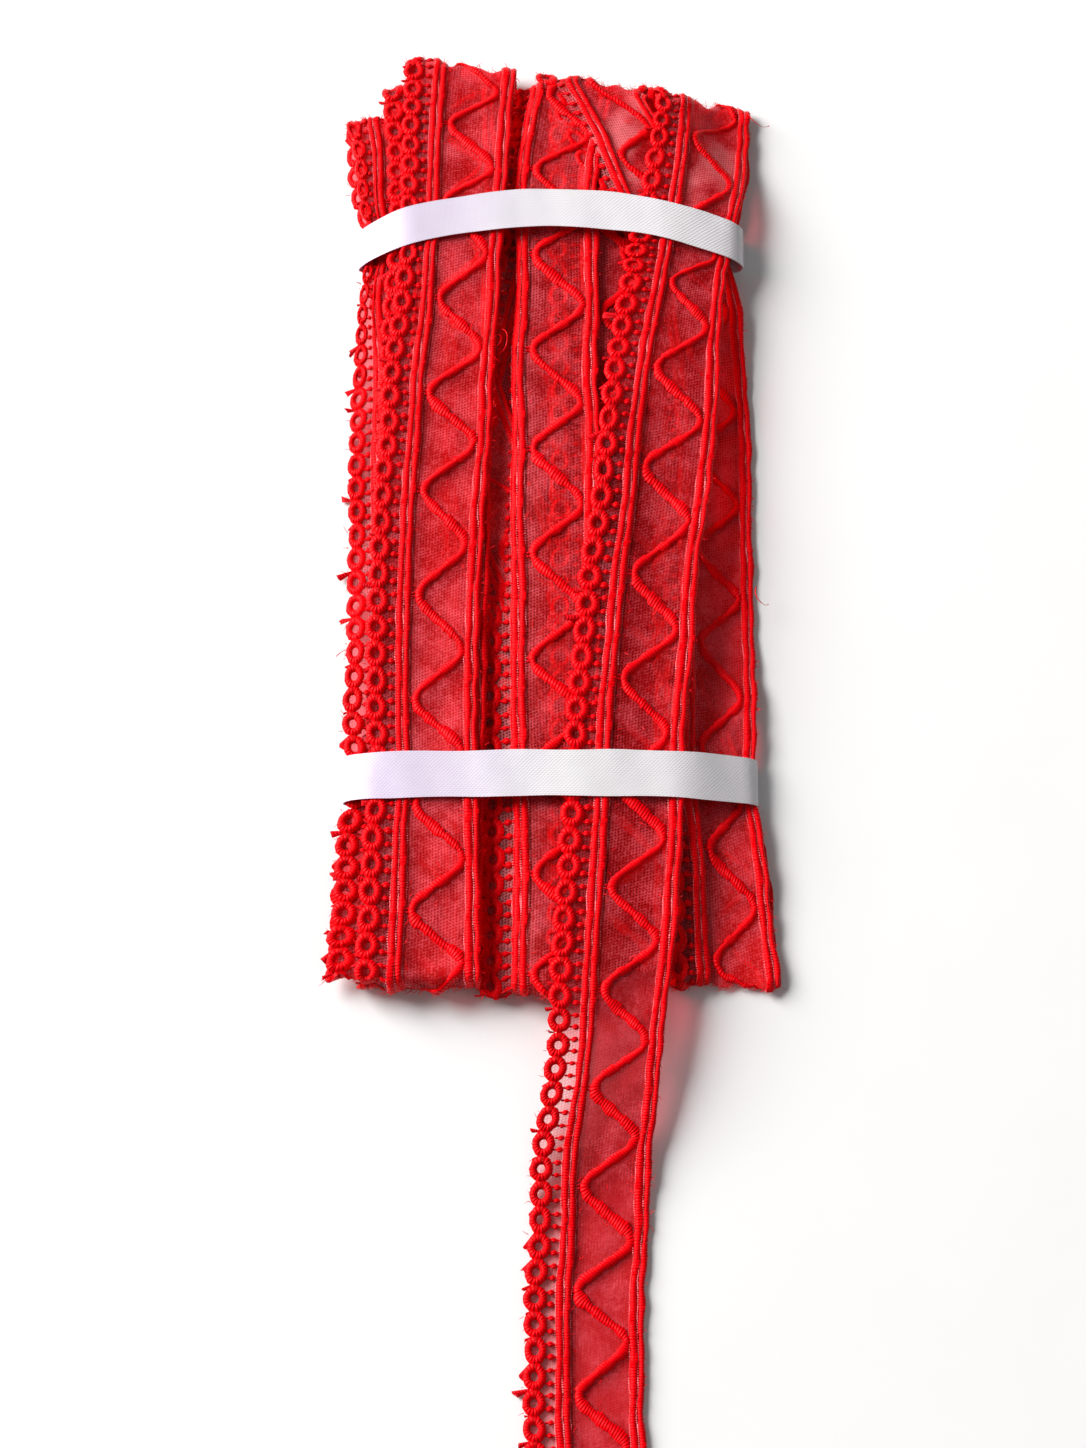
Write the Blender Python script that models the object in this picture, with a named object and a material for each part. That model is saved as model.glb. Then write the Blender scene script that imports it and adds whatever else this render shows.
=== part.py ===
"""A red embroidered lace trim, wound flat in seven turns and tied with two satin bands.

One length of trim, 38 mm wide, goes round and round in one solid: seven back passes
under seven front passes, with a rounded turn at each end and a loose tail at the foot.
The back passes slant from one front column to the next. X is across the bundle, Y is
along it and Z is up. The origin is the middle of the bundle's underside.
"""

import math
from collections import namedtuple

import bmesh
import bpy
import numpy as np

MM = 0.001

# The pattern across the trim, in mm from the outer edge of its ring chain
WIDTH = 38.0
RING_LINE = 3.7
RING_INNER_EDGE = 7.6
LEFT_RAIL = 12.7
RIGHT_RAIL = 35.95
RAIL_HALF = 2.1
ZIGZAG_LEFT = 17.35
ZIGZAG_RIGHT = 32.2
ZIGZAG_HALF = 1.9
ZIGZAG_ROUNDING = 0.12
FOOT_GAP = 0.15

# The pattern along the trim, in shares of one zigzag repeat of about 33 mm
RINGS_PER_REPEAT = 4
FIRST_RING = 0.075
REPEAT = 33.0
APEX_ROUND = 0.06
SCALLOP_DEPTH = 0.9
PLAIN_EDGE = 0.3

# Heights above the sheet's middle, in mm
FLAT_SIDE = 0.5
GROUND = 0.5
EDGE = 0.35
RAIL_TOP = 0.9
ZIGZAG_TOP = 0.95
RING_TOP = 0.95
RING_JOIN = 0.6
LAYER_GAP = 0.35

# Where the sheet's middle bends, in mm across
BEND_LINES = np.array([0.0, RING_INNER_EDGE, 14.8, 23.0, 31.0, WIDTH])

# How far one layer smooths what lies under it, in mm
SMOOTH_ALONG = 12.0
SMOOTH_ACROSS = 9.0

# The height map of the pile, in mm
MAP_WEST, MAP_EAST, MAP_STEP_X = -92.0, 96.0, 1.0
MAP_SOUTH, MAP_NORTH, MAP_STEP_Y = -330.0, 180.0, 2.5

# How a pass is cut into sections, and how it is laid
BACK_STATIONS = 10
BACK_ROWS = 13
PHASE_SAMPLES = 4001
LEAST_SHARE = 0.006
LAY_STEP = 2.0
LIFT_ROUNDS = 6
REPEATS_PAST_END = 4
TURN_ANGLES = (45.0, 90.0, 135.0)
TURN_REACH = 1.3
TURN_REACH_STEP = 0.35

TAIL_END = -307.0
TAIL_DROP = 76.0
BUNDLE_FOOT = -150.0
STACK_AT_FOOT = 9.5
FREE_END = -138.0

# A row of a front pass: y, x of the left rail, how far the pattern is spread, and how far
# the ring margin is spread
Row = namedtuple("Row", "along rail spread margin")

# A front pass: its fold line at the top (at the ring edge and at the right edge), its fold
# line at the foot, its rows, and the y of each turn of the zigzag next to the left rail
Front = namedtuple("Front", "top_left top_right foot rows apexes detail")

FRONT_PASSES = [
    Front(147.6, 147.6, -144.0, [
        Row(150, 9.6, 0.97, 1.0),
        Row(0, 10.6, 0.97, 1.0),
        Row(-150, 9.6, 0.97, 1.0),
    ], [140, 107, 74, 41, 8, -25, -58, -91, -124], "plain"),
    Front(144.0, 147.6, -145.9, [
        Row(147, -59.9, 1.0, 0.75),
        Row(130, -58.0, 1.0, 0.62),
        Row(108, -57.5, 1.0, 0.50),
        Row(84, -57.6, 1.0, 0.44),
        Row(50, -56.4, 1.0, 0.72),
        Row(0, -55.8, 1.0, 0.80),
        Row(-60, -55.0, 1.0, 0.90),
        Row(-108, -55.0, 1.0, 1.05),
        Row(-148, -55.6, 1.0, 1.20),
    ], [144.5, 115, 85.5, 57.5, 28.1, -4.3, -37.3, -69.5, -101.5, -131.1], "half"),
    Front(157.8, 152.7, -151.6, [
        Row(158, -4.8, 0.98, 0.80),
        Row(144, -7.9, 0.99, 0.75),
        Row(122, -11.3, 0.98, 0.65),
        Row(97, -10.6, 0.97, 0.60),
        Row(60, -12.0, 1.0, 0.60),
        Row(20, -12.1, 1.03, 0.66),
        Row(-37, -11.8, 1.0, 0.80),
        Row(-90, -10.9, 1.0, 0.86),
        Row(-152, -11.0, 0.98, 0.86),
    ], [152, 124.8, 94, 60.6, 26.1, -9.8, -44.9, -79.8, -114.7, -146.5], "full"),
    Front(154.9, 154.9, -147.8, [
        Row(155, -44.2, 0.97, 0.95),
        Row(113, -42.8, 0.95, 0.95),
        Row(45, -44.6, 0.97, 0.95),
        Row(-57, -46.2, 0.96, 0.95),
        Row(-150, -47.8, 0.96, 0.95),
    ], [141, 112, 78, 45, 12, -24, -59, -92, -127], "plain"),
    Front(160.7, 153.1, -147.8, [
        Row(161, 2.8, 0.85, 0.88),
        Row(140, 13.0, 0.85, 0.88),
        Row(121, 20.0, 0.87, 0.88),
        Row(104, 28.0, 0.92, 0.88),
        Row(88, 34.2, 0.92, 0.88),
        Row(69, 37.6, 0.89, 0.86),
        Row(44, 39.5, 0.86, 0.86),
        Row(0, 40.5, 0.85, 0.86),
        Row(-60, 40.7, 0.84, 0.86),
        Row(-92, 41.6, 0.82, 0.86),
        Row(-118, 43.7, 0.86, 0.86),
        Row(-150, 44.4, 0.95, 0.86),
    ], [158, 128.1, 94.6, 61.6, 28.7, -4, -36.6, -71, -104.9, -140.2], "full"),
    Front(165.8, 161.4, -149.7, [
        Row(166, -36.6, 0.98, 0.97),
        Row(132, -39.3, 0.96, 0.88),
        Row(94, -40.2, 0.91, 0.86),
        Row(68, -42.0, 0.92, 0.90),
        Row(38, -44.6, 0.96, 0.92),
        Row(9, -46.1, 0.96, 0.92),
        Row(-24, -47.7, 0.97, 0.92),
        Row(-72, -47.4, 0.96, 0.92),
        Row(-110, -48.3, 0.99, 0.95),
        Row(-150, -49.0, 1.04, 0.98),
    ], [167, 140.8, 111.7, 77.8, 45, 11.7, -23.8, -58.7, -92.1, -126.6], "full"),
    Front(153.1, 149.4, TAIL_END, [
        Row(153, 43.0, 0.83, 0.80),
        Row(114, 38.5, 0.84, 0.98),
        Row(84, 33.6, 0.82, 1.05),
        Row(60, 28.4, 0.93, 1.0),
        Row(36, 25.5, 1.02, 0.95),
        Row(-8, 20.8, 0.97, 1.0),
        Row(-38, 17.3, 1.0, 1.0),
        Row(-72, 14.8, 0.99, 1.0),
        Row(-110, 12.5, 1.01, 1.0),
        Row(-140, 10.9, 0.99, 1.0),
        Row(-163, 9.3, 0.92, 0.96),
        Row(-199, 4.7, 0.96, 0.96),
        Row(-239, 2.5, 0.95, 0.96),
        Row(-268, 1.6, 0.95, 0.96),
        Row(-310, 3.7, 0.94, 0.96),
    ], [158, 135.8, 104.7, 84.2, 54.5, 19.7, -16.7, -51.9, -85.8, -119.5, -152,
        -181.3, -210.8, -242.4, -274.1, -304.7], "full"),
]
TURNS = len(FRONT_PASSES)

# A tie band: y of its sides, how far its middle is pushed up the bundle, and its width
Band = namedtuple("Band", "name side rise width")
BANDS = [
    Band("band_upper", 98.0, 11.0, 13.2),
    Band("band_lower", -83.2, 0.0, 15.0),
]
BAND_THICKNESS = 1.0
BAND_CLEARANCE = 0.4
BAND_FACETS = 48
BAND_MARGIN = 3.0
BAND_SAMPLES = 300
SHARP_ANGLE = 50.0

LACE_RED = (0.72, 0.004, 0.010, 1.0)
BAND_WHITE = (0.86, 0.85, 0.88, 1.0)


def smooth_step(share):
    share = np.clip(share, 0.0, 1.0)
    return share * share * (3.0 - 2.0 * share)


def through(places, values, at):
    """A smooth curve through a table's values, read at the places asked for."""
    order = np.argsort(places)
    xs = np.asarray(places, float)[order]
    ys = np.asarray(values, float)[order]
    slopes = np.gradient(ys, xs)
    at = np.clip(at, xs[0], xs[-1])
    i = np.clip(np.searchsorted(xs, at) - 1, 0, len(xs) - 2)
    span = xs[i + 1] - xs[i]
    s = (at - xs[i]) / span
    return ((2 * s ** 3 - 3 * s ** 2 + 1) * ys[i] + (s ** 3 - 2 * s ** 2 + s) * span * slopes[i]
            + (3 * s ** 2 - 2 * s ** 3) * ys[i + 1] + (s ** 3 - s ** 2) * span * slopes[i + 1])


def turn_reach(turn):
    """How far turn number 1 to 7 bulges past the ends of its two passes."""
    return TURN_REACH + TURN_REACH_STEP * turn


def zigzag_line(phase):
    """Distance of the zigzag cord from the ring edge, where phase 0 is next to the left rail."""
    turn = np.abs((np.asarray(phase) + 0.5) % 1.0 - 0.5) * 2.0
    w = ZIGZAG_ROUNDING

    def rounded(q):
        return np.where(q < w, q * q / (2 * w), q - w / 2)

    share = np.where(turn < 0.5, rounded(turn), 1 - w - rounded(1 - turn)) / (1 - w)
    return ZIGZAG_LEFT + (ZIGZAG_RIGHT - ZIGZAG_LEFT) * share


class Pass:
    """One run of the trim along the bundle. Share 0 is where it starts, share 1 its end."""

    def __init__(self, start_line, end_line, table, apexes, raised_up, detail):
        self.start_line = start_line
        self.end_line = end_line
        self.table = table
        self.apexes = apexes
        self.raised_up = raised_up
        self.detail = detail
        self.below = FLAT_SIDE
        self.above = RING_TOP if raised_up and detail != "plain" else GROUND

    def y(self, share, across):
        across = np.asarray(across) / WIDTH
        start = self.start_line[0] + (self.start_line[1] - self.start_line[0]) * across
        end = self.end_line[0] + (self.end_line[1] - self.end_line[0]) * across
        return start + (end - start) * share

    def x(self, y, across):
        rail, spread, margin = (through(self.table[0], column, y) for column in self.table[1:])
        offset = np.asarray(across) - LEFT_RAIL
        return rail + offset * np.where(offset < 0, margin, spread)

    def phase(self, y):
        """Which repeat of the pattern is at y: whole numbers are turns at the left rail."""
        ys = np.array(self.apexes, float)
        more = REPEATS_PAST_END
        first = ys[0] + (ys[0] - ys[1]) * more
        last = ys[-1] + (ys[-1] - ys[-2]) * more
        places = np.concatenate([[last], ys[::-1], [first]])
        inner = np.arange(len(ys) - 1, -1, -1)
        numbers = np.concatenate([[len(ys) - 1 + more], inner, [-more]])
        return np.interp(y, places, numbers)

    def stations(self):
        if self.detail == "plain":
            return np.linspace(0.0, 1.0, BACK_STATIONS)
        dense = np.linspace(0.0, 1.0, PHASE_SAMPLES)
        ys = self.y(dense, WIDTH / 2)
        phases = self.phase(ys)
        shares = [0.0]
        for number in range(int(phases.min()) - 1, int(phases.max()) + 2):
            for offset in self.offsets_in(number, ys, phases):
                if phases.min() < number + offset < phases.max():
                    share = float(np.interp(number + offset, phases, dense))
                    if share - shares[-1] > LEAST_SHARE and share < 1 - LEAST_SHARE:
                        shares.append(share)
        return np.array(shares + [1.0])

    def offsets_in(self, number, ys, phases):
        """Where this repeat needs sections: both sides of each zigzag turn, or on the tail
        at each ring and between rings."""
        if np.interp(number, phases, ys) < BUNDLE_FOOT:
            count = 2 * RINGS_PER_REPEAT
            return [FIRST_RING + i / count for i in range(count)]
        if self.detail == "half":
            return [0.0, 0.5]
        return [APEX_ROUND, 0.5 - APEX_ROUND, 0.5 + APEX_ROUND, 1.0 - APEX_ROUND]


def lay_out_passes():
    """Back pass 1, front pass 1, back pass 2 and so on, in the order of the trim."""
    passes = []
    for i, front in enumerate(FRONT_PASSES):
        turn = i + 1
        reach = turn_reach(turn)
        top = (front.top_left - reach, front.top_right - reach)
        is_last = turn == TURNS
        foot = front.foot if is_last else front.foot + reach
        columns = [np.array(column, float) for column in zip(*front.rows)]
        run = Pass(top, (foot, foot), columns, front.apexes, True, front.detail)
        if i == 0:
            start_y = FREE_END
            start = [column[-1] for column in columns[1:]]
        else:
            before = passes[-1]
            start_y = before.end_line[0]
            start = [float(through(before.table[0], c, start_y)) for c in before.table[1:]]
        end_y = min(top)
        end = [float(through(columns[0], c, end_y)) for c in columns[1:]]
        ys = np.linspace(start_y, end_y, BACK_ROWS)
        lean = smooth_step((ys - start_y) / (end_y - start_y))
        table = [ys] + [a + (b - a) * lean for a, b in zip(start, end)]
        apexes = list(np.arange(end_y, start_y - REPEAT, -REPEAT))
        passes.append(Pass((start_y, start_y), top, table, apexes, False, "plain"))
        passes.append(run)
    return passes


def spread_max(grid, rows, columns):
    for axis, count in ((0, rows), (1, columns)):
        best = grid
        for shift in range(1, count + 1):
            pad = [(0, 0), (0, 0)]
            pad[axis] = (shift, shift)
            wide = np.pad(grid, pad, mode="edge")
            size = grid.shape[axis]
            low = np.take(wide, range(0, size), axis)
            high = np.take(wide, range(2 * shift, 2 * shift + size), axis)
            best = np.maximum(best, np.maximum(low, high))
        grid = best
    return grid


def average(grid, rows, columns):
    for axis, count in ((0, rows), (1, columns)):
        pad = [(0, 0), (0, 0)]
        pad[axis] = (count, count)
        wide = np.pad(grid, pad, mode="edge")
        size = grid.shape[axis]
        grid = sum(np.take(wide, range(k, k + size), axis) for k in range(2 * count + 1))
        grid = grid / (2 * count + 1)
    return grid


class Pile:
    """Height of everything laid so far, on a grid seen from above."""

    def __init__(self):
        self.xs = np.arange(MAP_WEST, MAP_EAST + MAP_STEP_X, MAP_STEP_X)
        self.ys = np.arange(MAP_SOUTH, MAP_NORTH + MAP_STEP_Y, MAP_STEP_Y)
        self.top = np.full((len(self.ys), len(self.xs)), -LAYER_GAP)
        for band in BANDS:
            low = band.side - band.width / 2 - BAND_MARGIN
            high = band.side + band.width / 2 + BAND_MARGIN
            rows = (self.ys > low) & (self.ys < high)
            self.top[rows, :] = BAND_THICKNESS + BAND_CLEARANCE - LAYER_GAP

    def under(self, x, y):
        fx = np.clip((x - self.xs[0]) / MAP_STEP_X, 0, len(self.xs) - 1.001)
        fy = np.clip((y - self.ys[0]) / MAP_STEP_Y, 0, len(self.ys) - 1.001)
        ix, iy = fx.astype(int), fy.astype(int)
        ax, ay = fx - ix, fy - iy
        t = self.top
        low = t[iy, ix] * (1 - ax) + t[iy, ix + 1] * ax
        high = t[iy + 1, ix] * (1 - ax) + t[iy + 1, ix + 1] * ax
        return low * (1 - ay) + high * ay

    def add(self, x, y, height):
        ix = np.clip(np.rint((x - self.xs[0]) / MAP_STEP_X).astype(int), 0, len(self.xs) - 1)
        iy = np.clip(np.rint((y - self.ys[0]) / MAP_STEP_Y).astype(int), 0, len(self.ys) - 1)
        np.maximum.at(self.top, (iy, ix), height)


def facets_at(shares, heights, share, across):
    """Height of the flat facets between a pass's sections and bend lines."""
    i = np.clip(np.searchsorted(shares, share) - 1, 0, len(shares) - 2)
    j = np.clip(np.searchsorted(BEND_LINES, across) - 1, 0, len(BEND_LINES) - 2)
    a = np.clip((share - shares[i]) / (shares[i + 1] - shares[i]), 0, 1)
    b = (across - BEND_LINES[j]) / (BEND_LINES[j + 1] - BEND_LINES[j])
    low = heights[i, j] * (1 - b) + heights[i, j + 1] * b
    high = heights[i + 1, j] * (1 - b) + heights[i + 1, j + 1] * b
    return low * (1 - a) + high * a


def lay_down(run, pile):
    """Rests one pass on the pile: smooth over what is under it, and clear of it all over."""
    length = abs(np.mean(run.end_line) - np.mean(run.start_line))
    count = int(length / LAY_STEP) + 1
    share = np.linspace(0.0, 1.0, count)[:, None]
    across = np.linspace(0.0, WIDTH, int(WIDTH) + 1)[None, :]
    y = run.y(share, across)
    x = run.x(y, across)
    under = pile.under(x, y)
    rows = int(round(SMOOTH_ALONG / LAY_STEP))
    columns = int(round(SMOOTH_ACROSS))
    rest = spread_max(under, rows, columns)
    rest = average(average(rest, rows // 2, columns // 2), rows - rows // 2, columns - columns // 2)
    rest = rest + LAYER_GAP + run.below
    if run.end_line[0] == TAIL_END:
        drop = smooth_step((BUNDLE_FOOT - y) / TAIL_DROP)
        ramp = run.below + STACK_AT_FOOT * (1 - drop)
        rest = np.where(y < BUNDLE_FOOT, np.maximum(rest, ramp), rest)
    shares = run.stations()
    nearest = np.clip(np.searchsorted(share[:, 0], shares), 0, count - 1)
    heights = np.empty((len(shares), len(BEND_LINES)))
    for j, line in enumerate(BEND_LINES):
        heights[:, j] = rest[nearest, int(round(line))]
    s_all = np.broadcast_to(share, under.shape)
    a_all = np.broadcast_to(across, under.shape)
    span_of = np.clip(np.searchsorted(shares, s_all) - 1, 0, len(shares) - 2)
    strip_of = np.clip(np.searchsorted(BEND_LINES, a_all) - 1, 0, len(BEND_LINES) - 2)
    for _ in range(LIFT_ROUNDS):
        short = under + LAYER_GAP + run.below - facets_at(shares, heights, s_all, a_all)
        lift = np.zeros_like(heights)
        for di in (0, 1):
            for dj in (0, 1):
                np.maximum.at(lift, (span_of + di, strip_of + dj), short)
        if lift.max() < 0.01:
            break
        heights += np.maximum(lift, 0.0)
    run.shares = shares
    run.heights = heights
    spare = turn_reach(TURNS) / length
    share = np.linspace(-spare, 1 + spare, count * 3)[:, None]
    across = np.linspace(0.0, WIDTH, int(WIDTH) * 2 + 1)[None, :]
    s_all, a_all = np.broadcast_arrays(share, across)
    y = run.y(s_all, a_all)
    x = run.x(y, a_all)
    top = facets_at(shares, heights, np.clip(s_all, 0, 1), a_all) + run.above
    pile.add(x, y, top)


def raised_profile(run, phase, y):
    """Points of the raised face across the trim: distance across and height."""
    if run.detail == "plain":
        return [(float(line), GROUND) for line in BEND_LINES]
    edge, ring = PLAIN_EDGE, RING_TOP
    if y < BUNDLE_FOOT:
        between = 0.5 - 0.5 * math.cos(2 * math.pi * RINGS_PER_REPEAT * (phase - FIRST_RING))
        edge = SCALLOP_DEPTH * between
        ring = RING_TOP + (RING_JOIN - RING_TOP) * between
    centre = float(zigzag_line(phase))
    right_foot = max(RIGHT_RAIL - RAIL_HALF, centre + ZIGZAG_HALF + FOOT_GAP)
    points = [
        (edge, EDGE),
        (RING_LINE, ring),
        (RING_INNER_EDGE, GROUND),
        (LEFT_RAIL - RAIL_HALF, GROUND),
        (LEFT_RAIL, RAIL_TOP),
        (LEFT_RAIL + RAIL_HALF, GROUND),
    ]
    if run.detail == "full":
        points += [
            (centre - ZIGZAG_HALF, GROUND),
            (centre, ZIGZAG_TOP),
            (centre + ZIGZAG_HALF, GROUND),
        ]
    else:
        points += [(float(line), GROUND) for line in BEND_LINES[3:5]]
    points += [(right_foot, GROUND), (RIGHT_RAIL, RAIL_TOP), (WIDTH, EDGE)]
    return points


def flat_profile(raised):
    """Points of the flat face, under the same two edges as the raised face."""
    inner = [(float(line), -FLAT_SIDE) for line in BEND_LINES[1:-1]]
    return [(raised[0][0], -FLAT_SIDE)] + inner + [(raised[-1][0], -FLAT_SIDE)]


def read_across(values, across):
    """Reads a section's places or directions at a distance across."""
    return np.array([np.interp(across, BEND_LINES, values[:, k]) for k in range(3)])


def build_sections(passes):
    """All sections in the order of the trim: the middle's points, the pattern and the side."""
    sections = []
    for number, run in enumerate(passes):
        for share, heights in zip(run.shares, run.heights):
            y = run.y(share, BEND_LINES)
            x = run.x(y, BEND_LINES)
            middle = float(run.y(share, WIDTH / 2))
            raised = raised_profile(run, float(run.phase(middle)), middle)
            sections.append((np.column_stack([x, y, heights]), raised))
        if number + 1 < len(passes):
            following = passes[number + 1]
            turn = number // 2 + 1
            outward = 1.0 if number % 2 == 0 else -1.0
            low = sections[-1][0]
            y = following.y(0.0, BEND_LINES)
            high = np.column_stack([following.x(y, BEND_LINES), y, following.heights[0]])
            for angle in TURN_ANGLES:
                lean = math.radians(angle)
                share = 0.5 - 0.5 * math.cos(lean)
                points = low * (1 - share) + high * share
                points[:, 1] += outward * turn_reach(turn) * math.sin(lean)
                raised = [(float(line), GROUND) for line in BEND_LINES]
                sections.append((points, raised))
    return sections


def unit(vectors):
    return vectors / np.linalg.norm(vectors, axis=-1, keepdims=True)


def normals_of(sections):
    """Outward directions of the sheet's middle at each section's bend lines."""
    middles = np.array([points for points, _ in sections])
    steps = unit(np.diff(middles, axis=0))
    along = np.concatenate([steps[:1], steps[:-1] + steps[1:], steps[-1:]])
    across = np.gradient(middles, axis=1)
    return unit(np.cross(unit(along), unit(across)))


def zip_rows(mesh, row_a, row_b, flip):
    """Triangles between two rows of (distance across, vertex)."""
    i = j = 0
    while i < len(row_a) - 1 or j < len(row_b) - 1:
        next_a = row_a[i + 1][0] if i < len(row_a) - 1 else math.inf
        next_b = row_b[j + 1][0] if j < len(row_b) - 1 else math.inf
        if next_a <= next_b:
            corners = [row_a[i][1], row_a[i + 1][1], row_b[j][1]]
            i += 1
        else:
            corners = [row_a[i][1], row_b[j + 1][1], row_b[j][1]]
            j += 1
        mesh.faces.new(corners[::-1] if flip else corners)


def build_trim(sections):
    normals = normals_of(sections)
    mesh = bmesh.new()
    rings = []
    for (points, raised), normal in zip(sections, normals):
        rows = []
        for profile in (raised, flat_profile(raised)):
            row = []
            for across, height in profile:
                place = read_across(points, across) + unit(read_across(normal, across)) * height
                row.append((across, mesh.verts.new(place * MM)))
            rows.append(row)
        rings.append(rows)
    for (raised_a, flat_a), (raised_b, flat_b) in zip(rings, rings[1:]):
        zip_rows(mesh, raised_a, raised_b, True)
        zip_rows(mesh, flat_a, flat_b, False)
        for end in (0, -1):
            quad = [raised_a[end][1], raised_b[end][1], flat_b[end][1], flat_a[end][1]]
            mesh.faces.new(quad if end == 0 else quad[::-1])
    for ring, flip in ((rings[0], False), (rings[-1], True)):
        zip_rows(mesh, ring[0], ring[1], flip)
    bmesh.ops.recalc_face_normals(mesh, faces=mesh.faces)
    return mesh


def outline_of(points):
    """Corners of the smallest convex shape round the points, anticlockwise."""
    points = sorted(set(map(tuple, np.round(points, 4))))

    def half(items):
        chain = []
        for p in items:
            while len(chain) > 1:
                (ax, ay), (bx, by) = chain[-2], chain[-1]
                if (bx - ax) * (p[1] - ay) - (by - ay) * (p[0] - ax) > 0:
                    break
                chain.pop()
            chain.append(p)
        return chain

    return np.array(half(points)[:-1] + half(points[::-1])[:-1])


def build_band(band, passes):
    """A satin band drawn tight round the bundle: a closed loop one sheet thick."""
    low = band.side - band.width / 2 - BAND_MARGIN
    high = band.side + band.rise + band.width / 2 + BAND_MARGIN
    cut = []
    for run in passes:
        share = np.linspace(0.0, 1.0, BAND_SAMPLES)[:, None]
        y = run.y(share, BEND_LINES[None, :])
        x = run.x(y, BEND_LINES[None, :])
        s_all, a_all = np.broadcast_arrays(share, BEND_LINES[None, :])
        z = facets_at(run.shares, run.heights, s_all, a_all)
        inside = (y > low) & (y < high)
        cut += list(zip(x[inside], z[inside] + run.above))
        cut += list(zip(x[inside], z[inside] - run.below))
    corners = outline_of(np.array(cut))
    middle = (corners[:, 0].min() + corners[:, 0].max()) / 2
    half = (corners[:, 0].max() - corners[:, 0].min()) / 2
    mesh = bmesh.new()
    rings = []
    for k in range(BAND_FACETS):
        angle = 2 * math.pi * (k + 0.5) / BAND_FACETS
        lean = np.array([math.cos(angle), math.sin(angle)])
        corner = corners[np.argmax(corners @ lean)]
        ring = []
        for clear in (BAND_CLEARANCE, BAND_CLEARANCE + BAND_THICKNESS):
            x, z = corner + lean * clear
            over = max(0.0, 1 - ((x - middle) / half) ** 2) if lean[1] > 0 else 0.0
            centre = band.side + band.rise * over
            for side in (-0.5, 0.5):
                place = (x, centre + side * band.width, max(z, 0.0))
                ring.append(mesh.verts.new([value * MM for value in place]))
        rings.append([ring[0], ring[1], ring[3], ring[2]])
    for a, b in zip(rings, rings[1:] + rings[:1]):
        for i in range(4):
            mesh.faces.new([a[i], a[(i + 1) % 4], b[(i + 1) % 4], b[i]])
    bmesh.ops.recalc_face_normals(mesh, faces=mesh.faces)
    return mesh


def make_material(name, colour, roughness):
    material = bpy.data.materials.new(name)
    material.use_nodes = True
    shader = material.node_tree.nodes["Principled BSDF"]
    shader.inputs["Base Color"].default_value = colour
    shader.inputs["Roughness"].default_value = roughness
    shader.inputs["Metallic"].default_value = 0.0
    return material


def make_object(name, built, material, collection):
    mesh = bpy.data.meshes.new(name)
    built.to_mesh(mesh)
    built.free()
    mesh.materials.append(material)
    mesh.shade_smooth()
    mesh.set_sharp_from_angle(angle=math.radians(SHARP_ANGLE))
    piece = bpy.data.objects.new(name, mesh)
    collection.objects.link(piece)
    return piece


def main():
    for item in list(bpy.data.objects):
        bpy.data.objects.remove(item, do_unlink=True)
    collection = bpy.data.collections.new("embroidered_lace_trim")
    bpy.context.scene.collection.children.link(collection)
    lace = make_material("lace_red", LACE_RED, 0.5)
    satin = make_material("satin_white", BAND_WHITE, 0.35)
    passes = lay_out_passes()
    pile = Pile()
    backs, fronts = passes[0::2], passes[1::2]
    for run in backs[::-1] + fronts:
        lay_down(run, pile)
    make_object("trim", build_trim(build_sections(passes)), lace, collection)
    for band in BANDS:
        make_object(band.name, build_band(band, passes), satin, collection)


main()
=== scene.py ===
"""Looks of the wound lace trim: sheer cloth, corded embroidery, ring edge and satin bands.

The embroidery is modelled flat, one repeat at a time, in millimetres: X is the distance
across the trim from the ring edge, Y the distance along it and Z the height above the
cloth. Each finished length is then laid on the folded cloth and comes out in metres.
"""

import math
from collections import namedtuple

import bpy
import numpy as np
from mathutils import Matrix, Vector


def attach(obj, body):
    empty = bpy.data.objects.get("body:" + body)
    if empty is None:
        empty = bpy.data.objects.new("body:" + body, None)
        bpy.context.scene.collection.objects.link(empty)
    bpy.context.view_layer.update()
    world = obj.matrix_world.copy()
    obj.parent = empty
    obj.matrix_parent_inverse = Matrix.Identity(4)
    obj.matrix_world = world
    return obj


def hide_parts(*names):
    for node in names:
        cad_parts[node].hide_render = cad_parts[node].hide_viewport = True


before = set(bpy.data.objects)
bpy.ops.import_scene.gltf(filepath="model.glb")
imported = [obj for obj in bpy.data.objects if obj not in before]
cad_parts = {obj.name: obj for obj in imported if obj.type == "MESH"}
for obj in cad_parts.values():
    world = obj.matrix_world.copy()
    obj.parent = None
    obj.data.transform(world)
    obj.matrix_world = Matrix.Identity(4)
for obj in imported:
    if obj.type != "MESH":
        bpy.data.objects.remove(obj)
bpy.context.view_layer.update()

MM = 0.001
SEED = 21

# The pattern across the trim, in mm from the outer edge of its ring chain
WIDTH = 38.0
RING_LINE = 3.7
LEFT_RAIL = 12.7
ZIGZAG_LEFT = 17.35
ZIGZAG_RIGHT = 32.2
ZIGZAG_ROUNDING = 0.27

# The pattern along the trim
REPEAT = 33.0
RINGS_PER_REPEAT = 4
RING_PITCH = REPEAT / RINGS_PER_REPEAT
FIRST_RING = 0.075
PHASE_STEPS = 2001

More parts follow.
